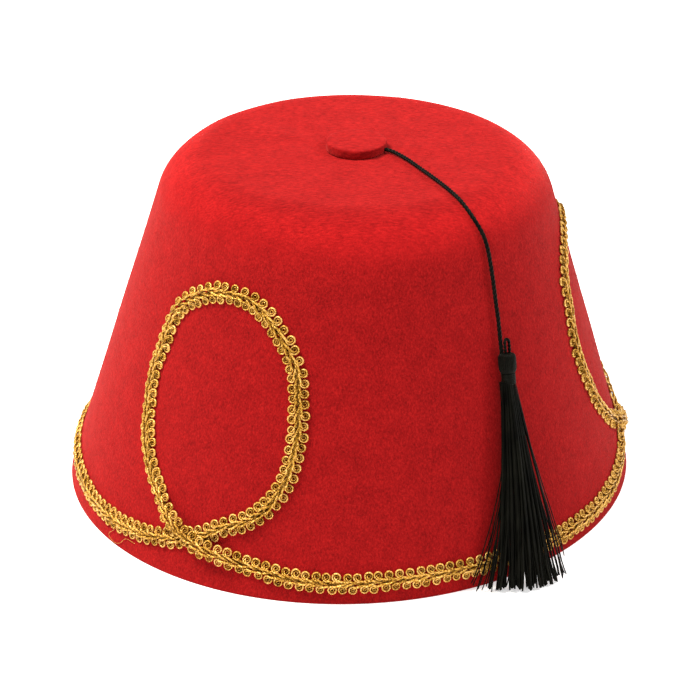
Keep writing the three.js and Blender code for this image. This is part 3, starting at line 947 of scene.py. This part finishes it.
# The core's taper only darkens its colour, as painted shade between the rings; its radius is divided back out
# when it is sewn.
CORE_SHADE_TAPER = 0.6
RING_MIDDLE = 1.97
STITCH_THREADS = [
    {"radius": 1.2, "points": 13, "low": 0.28, "high": 0.95, "beside": 0.0, "thickness": 1.0},
    {"radius": 0.55, "points": 9, "low": 0.24, "high": 1.0, "beside": -0.27, "thickness": 0.74},
]
RING_FROM = math.radians(-115)
RING_CROSSES = math.radians(160)
RING_TO = math.radians(262)
# Columns: along, across and out
STITCH_LEAD = [(-2.2, 0.3, 0.36), (-1.2, 0.5, 0.38)]
STITCH_TAIL = [(1.2, 0.95, 1.1), (2.2, 0.62, 1.1), (3.3, 0.34, 0.9), (4.5, 0.2, 0.6)]


def stitch_line(thread, side):
    """One thread of a stitch. x runs along the braid, y across it and z out from the felt."""
    angle = np.linspace(RING_FROM, RING_TO, thread["points"])
    lift = np.interp(angle, [RING_CROSSES, RING_TO], [thread["low"], thread["high"]])
    ring = np.stack([np.cos(angle), np.sin(angle), lift / thread["radius"]], axis=1) * thread["radius"]
    beside = (0.0, thread["beside"], 0.0)
    line = np.vstack([np.add(STITCH_LEAD, beside), ring + (0, RING_MIDDLE, 0), np.add(STITCH_TAIL, beside)])
    return line * (1, side, 1)


def stitch_carrier(name, side):
    lines = [stitch_line(thread, side) for thread in STITCH_THREADS]
    tapers = []
    for line, thread in zip(lines, STITCH_THREADS):
        share = np.linspace(0, 1, len(line))
        # The tapers thin the ends and the inner thread, and the gold finish reads them as painted shade too.
        tapers.append(thread["thickness"] * np.interp(share, [0, 0.12, 0.75, 1], [0.75, 1, 1, 0.65]))
    carrier = line_carrier(name, lines, tapers)
    carrier.hide_render = True
    return carrier


upper_stitch = stitch_carrier("upper_stitch_line", 1)
lower_stitch = stitch_carrier("lower_stitch_line", -1)
stitch_length = sum(length_of(stitch_line(thread, 1)) for thread in STITCH_THREADS)
print(f"one stitch takes {stitch_length:.1f} mm of thread")

# %% [markdown]
# ## Sewing the gimp along its path
# More than seven hundred stitches follow the path, each facing out of the wall where it lies.
# A Curve modifier would bend one long braid, but it twists where the path turns back.
# Setting the stitches one by one with Geometry Nodes keeps every ring flat on the felt, and
# a small random change of size and place gives the hand of the machine that made it.

# %% The tree that sets stitches along a path
STITCH_SWAY = (0.06, 0.06, 0.12)
STITCH_SLIP = 0.12
POINTS_PER_STITCH = 6


def gimp_tree():
    tree, given = new_tree(
        "gimp",
        Stitches="Int",
        Pitch="Float",
        Thread_radius="Float",
        Core_radius="Float",
        Height="Float",
        Sides="Int",
        Unevenness="Float",
        Upper_stitch="Object",
        Lower_stitch="Object",
        Finish="Material",
    )
    line = add(tree, "GeometryNodeMeshToCurve", Mesh=given["Geometry"])
    count = calculate(tree, "ADD", given["Stitches"], 1)
    stations = add(tree, "GeometryNodeResampleCurve", {"mode": "COUNT"}, Curve=line.outputs[0], Count=count)
    facing = add(tree, "GeometryNodeInputNamedAttribute", {"data_type": "FLOAT_VECTOR"}, Name="facing")
    tangent = add(tree, "GeometryNodeInputTangent").outputs[0]
    turned = tree.nodes.new("FunctionNodeAxesToRotation")
    turned.primary_axis = "X"
    turned.secondary_axis = "Z"
    tree.links.new(tangent, turned.inputs[0])
    tree.links.new(out_of(facing, "Attribute"), turned.inputs[1])
    sway = random_between(tree, [-angle for angle in STITCH_SWAY], STITCH_SWAY, 71, "FLOAT_VECTOR")
    loose = turned_by(tree, turned.outputs[0], sway)
    is_last = add(tree, "GeometryNodeCurveEndpointSelection", Start_Size=0, End_Size=1)
    kept = add(tree, "FunctionNodeBooleanMath", {"operation": "NOT"})
    tree.links.new(is_last.outputs[0], kept.inputs[0])
    least = calculate(tree, "SUBTRACT", 1.0, given["Unevenness"])
    most = calculate(tree, "ADD", 1.0, given["Unevenness"])
    rows = add(tree, "GeometryNodeJoinGeometry")
    core = sweep(tree, line.outputs[0], given["Sides"], given["Core radius"])
    tree.links.new(core, rows.inputs[0])
    for seed, label, shift in ((3, "Upper stitch", 0.0), (8, "Lower stitch", 0.5)):
        stitch = add(tree, "GeometryNodeObjectInfo", Object=given[label])
        bent = add(tree, "GeometryNodeMeshToCurve", Mesh=out_of(stitch, "Geometry"))
        thread = sweep(tree, bent.outputs[0], given["Sides"], given["Thread radius"])
        size = random_between(tree, least, most, seed)
        raised = calculate(tree, "MULTIPLY", size, given["Height"])
        scale = add(tree, "ShaderNodeCombineXYZ", X=size, Y=size, Z=raised)
        placed = add(
            tree,
            "GeometryNodeInstanceOnPoints",
            Points=stations.outputs[0],
            Selection=kept.outputs[0],
            Instance=thread,
            Rotation=loose,
            Scale=scale.outputs[0],
        )
        along = calculate(tree, "MULTIPLY", given["Pitch"], shift)
        slip = random_between(tree, -STITCH_SLIP * MM, STITCH_SLIP * MM, seed + 20)
        shove = calculate(tree, "ADD", along, slip)
        step = add(tree, "ShaderNodeCombineXYZ", X=shove)
        moved = add(
            tree,
            "GeometryNodeTranslateInstances",
            Instances=placed.outputs[0],
            Translation=step.outputs[0],
            Local_Space=True,
        )
        shade = random_between(tree, 0.0, 1.0, seed + 40)
        marked = stored(tree, moved.outputs[0], "shade", shade, "INSTANCE")
        tree.links.new(marked, rows.inputs[0])
    finish_tree(tree, rows.outputs[0], given["Finish"])
    return tree


GIMP = gimp_tree()


# %% Sew the braid in three lengths
def path_lift(travelled):
    """How high the braid is lifted where it passes over itself."""
    lift = np.zeros_like(travelled)
    for crossing in path_crossings:
        direct = np.abs(travelled - crossing)
        away = np.minimum(direct, braid_length - direct)
        share = np.clip((away - HUMP_LEVEL) / HUMP_RAMP, 0, 1)
        lift = np.maximum(lift, 1 - share * share * (3 - 2 * share))
    return lift * (BRAID_THICKNESS + 2 * SEAT_GAP)


def sew(name, first, last):
    """Sews the braid between two lengths along its path."""
    stitches = round((last - first) / STITCH_PITCH)
    travelled = np.linspace(first, last, stitches * POINTS_PER_STITCH + 1)
    here = np.mod(travelled, braid_length)
    laps = np.floor_divide(travelled, braid_length) * math.tau
    turn = np.interp(here, path_travelled, path_turn) + laps
    slant = np.interp(here, path_travelled, path_slant)
    line = on_crown(turn, slant, path_lift(here) + felt_ripple(turn, slant))
    carrier = line_carrier(name + "_line", [line], [np.full(len(line), CORE_SHADE_TAPER)], [outward(turn, slant)])
    values = {
        "Stitches": stitches,
        "Pitch": (last - first) / stitches * MM,
        "Thread radius": STITCH_THREAD * MM,
        "Core radius": CORE_RADIUS / CORE_SHADE_TAPER * MM,
        "Height": STITCH_HEIGHT,
        "Sides": 4,
        "Unevenness": STITCH_UNEVEN,
        "Upper stitch": upper_stitch,
        "Lower stitch": lower_stitch,
        "Finish": GOLD_GIMP,
    }
    return grown(name, carrier, GIMP, values)


def swag_middles():
    """The lengths along the path at the middle of each swag."""
    per_loop = len(LOOP_ROUTE) + len(SWAG_ROUTE)
    middles = [per_loop * i + len(LOOP_ROUTE) + len(SWAG_ROUTE) // 2 for i in range(len(LOOPS))]
    return [path_travelled[row * PATH_STEPS] for row in middles]


middles = swag_middles()
starts = [middles[-1] - braid_length] + middles[:-1]
gimp = [sew("gimp_loop_" + loop["name"], a, b) for loop, a, b in zip(LOOPS, starts, middles)]
bpy.data.objects.remove(upper_stitch)
bpy.data.objects.remove(lower_stitch)

# %% [markdown]
# ## Where the tassel hangs
# The tassel lies against the wall at the front right and drifts a little to the left as it
# goes down. Its parts are placed by how far up the wall they are, how far across from the
# tassel's middle line, and how far out from the felt.

# %% Points on the tassel
TASSEL_SLANT = 72.5
TASSEL_TURN = -52.0
SKIRT_TURN = -56.4
HEAD_RADIUS = 2.85
HEAD_LENGTH = 6.0
BINDING_RADIUS = 2.3
BINDING_LENGTH = 4.0
NECK_SLANT = TASSEL_SLANT - HEAD_LENGTH - BINDING_LENGTH
HEAD_STAND_OFF = HEAD_RADIUS + SEAT_GAP


def on_tassel(slant, across, out):
    """Points on the tassel, in millimetres."""
    slant = np.asarray(slant, float)
    share = (TASSEL_SLANT - slant) / TASSEL_SLANT
    turn = np.radians(TASSEL_TURN + (SKIRT_TURN - TASSEL_TURN) * share)
    return on_crown(turn + across / meridian(slant, 0)[0], slant, out)


def head_axes():
    """The top of the head, and the directions across it, out from the wall and up."""
    top = on_tassel(TASSEL_SLANT, 0.0, HEAD_STAND_OFF)
    foot = on_tassel(NECK_SLANT, 0.0, HEAD_STAND_OFF)
    up = (top - foot) / np.linalg.norm(top - foot)
    out = on_tassel(TASSEL_SLANT, 0.0, HEAD_STAND_OFF + 1) - top
    out -= up * (out @ up)
    out /= np.linalg.norm(out)
    return top, np.cross(up, out), out, up


head_top, head_across, head_out, head_up = head_axes()


def at_head(points):
    """Points given as across, out and up from the top of the head, placed on the hat."""
    points = np.asarray(points, float)
    axes = np.stack([head_across, head_out, head_up])
    return head_top + points @ axes


print("top of the tassel's head at", np.round(head_top, 1))

# %% [markdown]
# ## The loop on the head
# A short twisted thread stands up from the head as a small closed loop. It is what the
# tassel was hung from while it was made.
# It is one bent line, given to the same strand tree as the cord.

# %% Bend the loop
LOOP_REACH = 0.825
LOOP_OFF_MIDDLE = 0.4
LOOP_RISE = 4.3
LOOP_PLY_RADIUS = 0.31
LOOP_THREAD_RADIUS = 0.55
LOOP_LAY_LENGTH = 2.4


def loop_line():
    spring = LOOP_RISE - LOOP_REACH
    angle = np.linspace(0, math.pi, 13)
    arch = np.stack([LOOP_REACH * np.cos(angle), 0 * angle, spring + LOOP_REACH * np.sin(angle)], 1)
    right_leg = [(LOOP_REACH * 0.9, 0.0, -0.2), (LOOP_REACH * 1.05, 0.0, spring / 2)]
    left_leg = [(-LOOP_REACH * 1.05, 0.0, spring / 2), (-LOOP_REACH * 0.9, 0.0, -0.2)]
    line = np.vstack([right_leg, arch, left_leg]) + (LOOP_OFF_MIDDLE, 0, 0)
    return at_head(line)


tassel_loop = strand(
    "tassel_loop_plies",
    [loop_line()],
    [np.ones(len(loop_line()))],
    BLACK_THREAD,
    LOOP_PLY_RADIUS,
    step=0.25,
    sides=8,
    plies=2,
    lay=(LOOP_LAY_LENGTH, LOOP_THREAD_RADIUS - LOOP_PLY_RADIUS),
)

# %% [markdown]
# ## The head of the tassel
# A tassel is a skein of thread hung over a small core, so the threads run over the head from
# its top and down under the binding.
# One thread is bent to the head's outline and set round its axis by a small node tree. A
# plain turned core behind them closes the gaps.

# %% The tree that sets threads round an axis
def around_tree():
    tree, given = new_tree("around", Count="Int", Thread_radius="Float", Sides="Int", Finish="Material")
    line = add(tree, "GeometryNodeMeshToCurve", Mesh=given["Geometry"])
    thread = sweep(tree, line.outputs[0], given["Sides"], given["Thread radius"])
    spots = add(tree, "GeometryNodePoints", Count=given["Count"])
    index = add(tree, "GeometryNodeInputIndex").outputs[0]
    share = calculate(tree, "DIVIDE", index, given["Count"])
    angle = calculate(tree, "MULTIPLY", share, math.tau)
    euler = add(tree, "ShaderNodeCombineXYZ", Z=angle)
    turned = tree.nodes.new("FunctionNodeEulerToRotation")
    tree.links.new(euler.outputs[0], turned.inputs[0])
    placed = add(
        tree,
        "GeometryNodeInstanceOnPoints",
        Points=spots.outputs[0],
        Instance=thread,
        Rotation=turned.outputs[0],
    )
    finish_tree(tree, placed.outputs[0], given["Finish"])
    return tree


# %% Dress the head
HEAD_THREAD = 0.27
HEAD_THREADS = 32
# Columns: share of the radius, share of the length
HEAD_PROFILE = [
    (0.12, 0.03),
    (0.4, 0.0),
    (0.68, -0.01),
    (0.84, -0.05),
    (0.96, -0.14),
    (1.0, -0.3),
    (1.0, -0.5),
    (1.0, -0.7),
    (0.96, -0.85),
    (0.86, -0.96),
    (0.74, -1.02),
    (0.6, -1.1),
]


def stand_at_head(piece):
    """Moves a piece made about +Z, with its top at 0, onto the head."""
    points = np.array([vertex.co for vertex in piece.data.vertices]) / MM
    placed = at_head(points) * MM
    piece.data.vertices.foreach_set("co", placed.astype(np.float32).ravel())
    piece.data.update()
    return piece


head_line = np.array([(HEAD_RADIUS * r - HEAD_THREAD, 0.0, HEAD_LENGTH * z) for r, z in HEAD_PROFILE])
head_line[:, 0] = np.maximum(head_line[:, 0], 0.15)
head_line[:, 2] -= HEAD_THREAD * (HEAD_RADIUS - head_line[:, 0]) / HEAD_RADIUS
head_line = smooth_line(with_ends(head_line), 2)
head_values = {
    "Count": HEAD_THREADS,
    "Thread radius": HEAD_THREAD * MM,
    "Sides": 6,
    "Finish": BLACK_THREAD,
}
head_taper = np.interp(np.linspace(0, 1, len(head_line)), [0, 0.35, 1], [0.35, 1, 0.9])
head_carrier = line_carrier("head_thread_line", [head_line], [head_taper])
tassel_head = stand_at_head(grown("tassel_head_threads", head_carrier, around_tree(), head_values))

CORE_SIDES = 28
CORE_PROFILE = [
    {"radius": 0.8, "height": -11.0},
    {"radius": 1.55, "height": -10.8},
    {"radius": 1.6, "height": -6.1},
    {"radius": 2.1, "height": -5.5},
    {"radius": 2.45, "height": -4.6},
    {"radius": 2.45, "height": -1.2},
    {"radius": 2.2, "height": -0.5},
    {"radius": 1.2, "height": -0.25},
]


def core_ring(row):
    """One ring of the core that fills the head behind its threads."""
    turn = np.linspace(0, math.tau, CORE_SIDES, endpoint=False)
    across, out = row["radius"] * np.cos(turn), row["radius"] * np.sin(turn)
    return np.stack([across, out, np.full_like(turn, row["height"])], 1)


core_rings = [core_ring(row) for row in CORE_PROFILE]
core_points, core_faces = closed_skin(core_rings, np.array([0, 0, -11.05]), np.array([0, 0, -0.2]))
tassel_core = stand_at_head(new_piece("tassel_core", core_points, core_faces, BLACK_THREAD))

# %% [markdown]
# ## The binding
# A thread is wound seven and a half times round the neck to hold the skein together.
# It is a spiral curve with a round section, which Geometry Nodes has ready to hand.

# %% Wind the binding
def winding_tree():
    tree, given = new_tree(
        "winding",
        Rounds="Float",
        Radius="Float",
        Height="Float",
        Thread_radius="Float",
        Finish="Material",
    )
    coil = add(
        tree,
        "GeometryNodeCurveSpiral",
        Resolution=24,
        Rotations=given["Rounds"],
        Start_Radius=given["Radius"],
        End_Radius=given["Radius"],
        Height=given["Height"],
    )
    whole = stored(tree, coil.outputs[0], "taper", 1.0)
    finish_tree(tree, sweep(tree, whole, 8, given["Thread radius"]), given["Finish"])
    return tree


WINDING_THREAD = 0.27
WINDING_ROUNDS = 7.5
winding_values = {
    "Rounds": WINDING_ROUNDS,
    "Radius": (BINDING_RADIUS - WINDING_THREAD) * MM,
    "Height": (BINDING_LENGTH - 2 * WINDING_THREAD) * MM,
    "Thread radius": WINDING_THREAD * MM,
    "Finish": BLACK_THREAD,
}
winding_carrier = line_carrier("winding_line", [np.zeros((2, 3))], [np.ones(2)])
tassel_binding = grown("tassel_neck_thread", winding_carrier, winding_tree(), winding_values)
for vertex in tassel_binding.data.vertices:
    vertex.co.z -= (HEAD_LENGTH + BINDING_LENGTH - WINDING_THREAD) * MM
stand_at_head(tassel_binding)

# %% [markdown]
# ## The skirt
# Nearly two hundred threads hang from the neck and spread over the wall, down to the level
# of the hem, where they are cut straight across.
# They could be particles, but a thread's bow and the way it clings to its neighbours are
# easier to steer as lines worked out one by one. Threads gather towards shared locks as they
# go down, each keeps a wave of its own, and a few strays leave the body altogether.

# %% Hang the skirt
SKIRT_THREAD = 0.28
SKIRT_POINTS = 25
ROOT_IN_NECK = 1.5
KINK = 0.22
SKIRT_PARTS = [
    {
        "threads": 130, "locks": 15, "flare": 1.25, "thickness": 1.0,
        "root": -0.6, "root_reach": 2.1, "middle": -0.9, "half_width": 8.7, "half_depth": 2.2,
    },
    {
        "threads": 26, "locks": 9, "flare": 1.3, "thickness": 0.72,
        "root": 0.9, "root_reach": 0.9, "middle": 7.6, "half_width": 4.8, "half_depth": 1.2,
    },
    {
        "threads": 22, "locks": 8, "flare": 2.0, "thickness": 0.58,
        "root": -2.3, "root_reach": 0.6, "middle": -9.8, "half_width": 3.6, "half_depth": 1.0,
    },
]
END_ACROSS = [-16.0, -10.0, -5.0, -1.0, 5.5, 11.5]
END_OUT = [2.8, 5.0, 7.0, 8.8, 10.2, 11.4]
STRAY_THICKNESS = 0.62
STRAY_SIDES = {
    "right": {"root": 0.8, "flare": 1.15},
    "left": {"root": -2.0, "flare": 2.2},
}
STRAYS = [
    {"across": 20.0, "out": 2.6, "height": 0.8},
    {"across": 18.0, "out": 3.2, "height": 3.4},
    {"across": 13.6, "out": 8.0, "height": 1.6},
    {"across": -15.9, "out": 3.0, "height": 0.7},
    {"across": -15.2, "out": 3.3, "height": 1.4},
    {"across": -16.4, "out": 2.6, "height": 2.6},
    {"across": -14.4, "out": 3.8, "height": 1.1},
    {"across": -17.2, "out": 2.6, "height": 3.4},
]
chance = np.random.default_rng(7)


def hanging_thread(root_across, root_out, end_across, end_out, end_height, flare, sway, gather=0.0):
    """One thread from the neck to its cut end.

    Flare is how late it swings aside, and gather how far its end leans to its lock. Sway
    holds how far it bows aside and outward, and its wave's count, start and reach.
    """
    share = np.linspace(0, 1, SKIRT_POINTS)
    end_slant = (end_height - end_out * math.sin(WALL_LEAN)) / math.cos(WALL_LEAN)
    slant = NECK_SLANT + ROOT_IN_NECK + (end_slant - NECK_SLANT - ROOT_IN_NECK) * share
    bow = np.sin(math.pi * share)
    wave = np.sin(math.tau * share * sway[2] + sway[3]) * share**1.5
    kink = KINK * np.sin(math.tau * share * 5 + 7 * sway[3]) * share**5
    across = root_across + (end_across - root_across) * share**flare + bow * sway[0] + wave * sway[4]
    across = across + gather * share**4 + kink
    out = HEAD_STAND_OFF + root_out + (end_out - HEAD_STAND_OFF - root_out) * share + bow * sway[1]
    return on_tassel(slant, across, np.maximum(out, 0.5))


def spiral(count, start):
    """Points spread evenly over a round, as seeds are in a sunflower."""
    reach = np.sqrt((np.arange(count) + 0.5) / count)
    angle = start + np.arange(count) * math.pi * (3 - math.sqrt(5))
    return reach * np.cos(angle), reach * np.sin(angle)


def skirt_lines():
    """Lines for all threads of the skirt, with how thick each is along its length."""
    thickness = np.interp(np.linspace(0, 1, SKIRT_POINTS), [0, 0.2, 1], [0.5, 1, 1.05])
    lines = []
    tapers = []
    for part in SKIRT_PARTS:
        across, depth = spiral(part["threads"], 0.0)
        lock_across, lock_depth = spiral(part["locks"], 0.7)
        lock_cut = chance.normal(1.4, 0.6, part["locks"])
        for i in range(part["threads"]):
            nearest = np.argmin((lock_across - across[i]) ** 2 + 0.3 * (lock_depth - depth[i]) ** 2)
            pull = chance.uniform(0.6, 0.98)
            root = part["root"] + across[i] * part["root_reach"]
            end_across = part["middle"] + across[i] * part["half_width"]
            end_out = np.interp(end_across, END_ACROSS, END_OUT) + depth[i] * part["half_depth"]
            cut = max(0.5, lock_cut[nearest] + chance.normal(0, 0.35))
            bows = (chance.normal(0, 0.3), chance.normal(0, 0.3))
            sway = (*bows, chance.uniform(0.6, 2.4), chance.uniform(0, 6.3), chance.normal(0, 0.3))
            gather = (lock_across[nearest] - across[i]) * pull * part["half_width"]
            line = hanging_thread(root, depth[i] * 1.6, end_across, end_out, cut, part["flare"], sway, gather)
            lines.append(line)
            tapers.append(part["thickness"] * thickness)
    for stray in STRAYS:
        sway = (chance.normal(0, 0.4), 0.2, 1.5, chance.uniform(0, 6.3), 0.3)
        side = STRAY_SIDES["right" if stray["across"] > 0 else "left"]
        end = (stray["across"], stray["out"], stray["height"])
        lines.append(hanging_thread(side["root"], 0.3, *end, side["flare"], sway))
        tapers.append(STRAY_THICKNESS * thickness)
    return lines, tapers


tassel_skirt = strand("tassel_skirt_threads", *skirt_lines(), BLACK_THREAD, SKIRT_THREAD, step=2.4, sides=5)

# %% [markdown]
# ## A loose gold thread
# One hair of gold has come out of the braid near the left and curls on the felt below it.
# Small faults like this make a thing look handled, and this one is in the photograph.

# %% Lay the loose thread
LOOSE_THREAD_RADIUS = 0.065
LOOSE_LIFT = 0.35
# Columns: turn in degrees, slant
LOOSE_ROUTE = [
    (217.6, 6.6),
    (216.95, 4.67),
    (215.6, 2.1),
    (217.9, 0.9),
    (219.62, 1.91),
    (220.89, 4.3),
    (223.75, 4.57),
]
loose_points = [on_crown(math.radians(turn), slant, LOOSE_LIFT) for turn, slant in LOOSE_ROUTE]
loose_line = smooth_line(with_ends(loose_points), 6)
loose_thread = strand(
    "loose_gold_thread",
    [loose_line],
    [np.ones(len(loose_line))],
    GOLD_GIMP,
    LOOSE_THREAD_RADIUS,
    step=0.4,
    sides=5,
)

# %% [markdown]
# ## Standing fibres
# Wool felt is never quite smooth: short fibres stand up all over it and catch the light at
# the outline of the hat.
# Geometry Nodes scatter one curved fibre over the outside, each turned and sized at random.

# %% Fibre finish and scattering tree
def felt_fibre_finish():
    material, _, shader = new_finish("felt_fibre", 0.9, 0.05)
    set_inputs(shader, {"Base Color": (0.38, 0.011, 0.012, 1.0)})
    sheen(shader, 0.08, 0.4, (1.0, 0.4, 0.35, 1.0))
    return material


FELT_FIBRE = felt_fibre_finish()


def scatter_tree():
    tree, given = new_tree(
        "fibres",
        Density="Float",
        Least_length="Float",
        Most_length="Float",
        Finish="Material",
    )
    spots = add(
        tree,
        "GeometryNodeDistributePointsOnFaces",
        {"distribute_method": "RANDOM"},
        Mesh=given["Geometry"],
        Density=given["Density"],
        Seed=5,
    )
    bend = add(
        tree,
        "GeometryNodeCurveQuadraticBezier",
        Resolution=3,
        Start=(0.0, 0.0, -0.05),
        Middle=(0.5, 0.0, 0.3),
        End=(1.0, 0.18, 0.22),
    )
    ring = add(tree, "GeometryNodeCurvePrimitiveCircle", {"mode": "RADIUS"}, Resolution=3, Radius=0.02)
    fibre = add(tree, "GeometryNodeCurveToMesh", Curve=bend.outputs[0], Profile_Curve=ring.outputs[0])
    lean = random_between(tree, (-0.25, -0.5, 0.0), (0.25, 0.2, 6.28), 6, "FLOAT_VECTOR")
    size = random_between(tree, given["Least length"], given["Most length"], 9)
    placed = add(
        tree,
        "GeometryNodeInstanceOnPoints",
        Points=spots.outputs[0],
        Instance=fibre.outputs[0],
        Rotation=turned_by(tree, spots.outputs["Rotation"], lean),
        Scale=size,
    )
    finish_tree(tree, placed.outputs[0], given["Finish"])
    return tree


# %% Raise the fibres
FIBRES_ABOVE = 3.0
FIBRES_FROM_MIDDLE = 11.0
OUTSIDE_SIDES = 96


def outside_carrier():
    """A coarse skin of the crown's outside for the fibres to stand on."""
    turn = np.linspace(0, math.tau, OUTSIDE_SIDES, endpoint=False)
    wall = np.linspace(FIBRES_ABOVE, WALL_LENGTH, 12)
    top = np.linspace(WALL_LENGTH, FULL_SLANT - FIBRES_FROM_MIDDLE, 16)[1:]
    rows = [on_crown(turn, np.full_like(turn, slant), -RIPPLE) for slant in [*wall, *top]]
    points, faces = closed_skin(rows, rows[0][0], rows[-1][0])
    return new_piece("outside", points, faces[OUTSIDE_SIDES:-OUTSIDE_SIDES], None)


fibre_values = {
    "Density": 130000.0,
    "Least length": 0.8 * MM,
    "Most length": 1.7 * MM,
    "Finish": FELT_FIBRE,
}
felt_fibres = grown("felt_fibres", outside_carrier(), scatter_tree(), fibre_values)

# %% [markdown]
# ## Floor and light
# The photograph was taken on plain white in soft studio light. The main light stands high on
# the left, so the top and the left wall are bright and the front is clearly darker. A weaker
# one on the right and white all round fill the shadows.

# %% Set the stage
FLOOR_SIZE = 9000.0
FLOOR_GLOW = 0.5


def floor_finish():
    material, _, shader = new_finish("white_floor", 0.9, 0.1)
    set_inputs(shader, {"Base Color": (0.9, 0.9, 0.9, 1.0)})
    set_inputs(shader, {"Emission Color": WHITE, "Emission Strength": FLOOR_GLOW})
    return material


half = FLOOR_SIZE / 2
floor_corners = [(-half, -half, 0), (half, -half, 0), (half, half, 0), (-half, half, 0)]
floor = new_piece("floor", floor_corners, [(0, 1, 2, 3)], floor_finish())

# %% Light the hat
LIGHT_DISTANCE = 1.3
LIGHT_SIZE = 0.55
LIGHT_AIM = 0.05
KEY_FROM = (-0.47, 0.0, 0.88)
KEY_POWER = 33.0
FILL_FROM = (0.75, 0.0, 0.66)
FILL_POWER = 11.5
SKY_STRENGTH = 0.57


def soft_light(name, direction, power, colour):
    """A round soft light that looks at the hat from a direction, in metres and watts."""
    data = bpy.data.lights.new(name, "AREA")
    data.shape = "DISK"
    data.size = LIGHT_SIZE
    data.energy = power
    data.color = colour
    lamp = put_in(name, data)
    aim = Vector((0, 0, LIGHT_AIM))
    lamp.location = aim + Vector(direction).normalized() * LIGHT_DISTANCE
    lamp.rotation_euler = (lamp.location - aim).to_track_quat("Z", "Y").to_euler()


soft_light("key", KEY_FROM, KEY_POWER, (1.0, 0.98, 0.88))
soft_light("fill", FILL_FROM, FILL_POWER, (1.0, 1.0, 1.0))

world = bpy.data.worlds.new("white_room")
world.use_nodes = True
set_inputs(world.node_tree.nodes["Background"], {"Color": WHITE, "Strength": SKY_STRENGTH})
bpy.context.scene.world = world
bpy.context.scene.view_settings.view_transform = "Standard"
print(f"lights {LIGHT_DISTANCE} m away, {LIGHT_SIZE} m across")

# %% [markdown]
# ## Binding the pieces to the frame
# Every piece rides on the hat's one body.
# A piece that stands for a plain solid replaces it, so that the solid isn't drawn.

# %% Bind the pieces
BOUND = [
    (crown, "red_felt", ["crown"]),
    (button, "red_felt", ["top_button"]),
    (felt_fibres, "red_felt", []),
    (gimp[0], "gold_gimp", ["gimp_braid"]),
    (gimp[1], "gold_gimp", ["gimp_braid"]),
    (gimp[2], "gold_gimp", ["gimp_braid"]),
    (loose_thread, "gold_gimp", []),
    (tassel_cord, "black_thread", ["tassel_cord"]),
    (tassel_loop, "black_thread", ["tassel_loop"]),
    (tassel_core, "black_thread", ["tassel"]),
    (tassel_head, "black_thread", ["tassel"]),
    (tassel_skirt, "black_thread", ["tassel"]),
    (tassel_binding, "black_thread", ["tassel_binding"]),
]
for piece, slot, nodes in BOUND:
    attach(piece, "root")
    if nodes:
        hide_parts(*nodes)
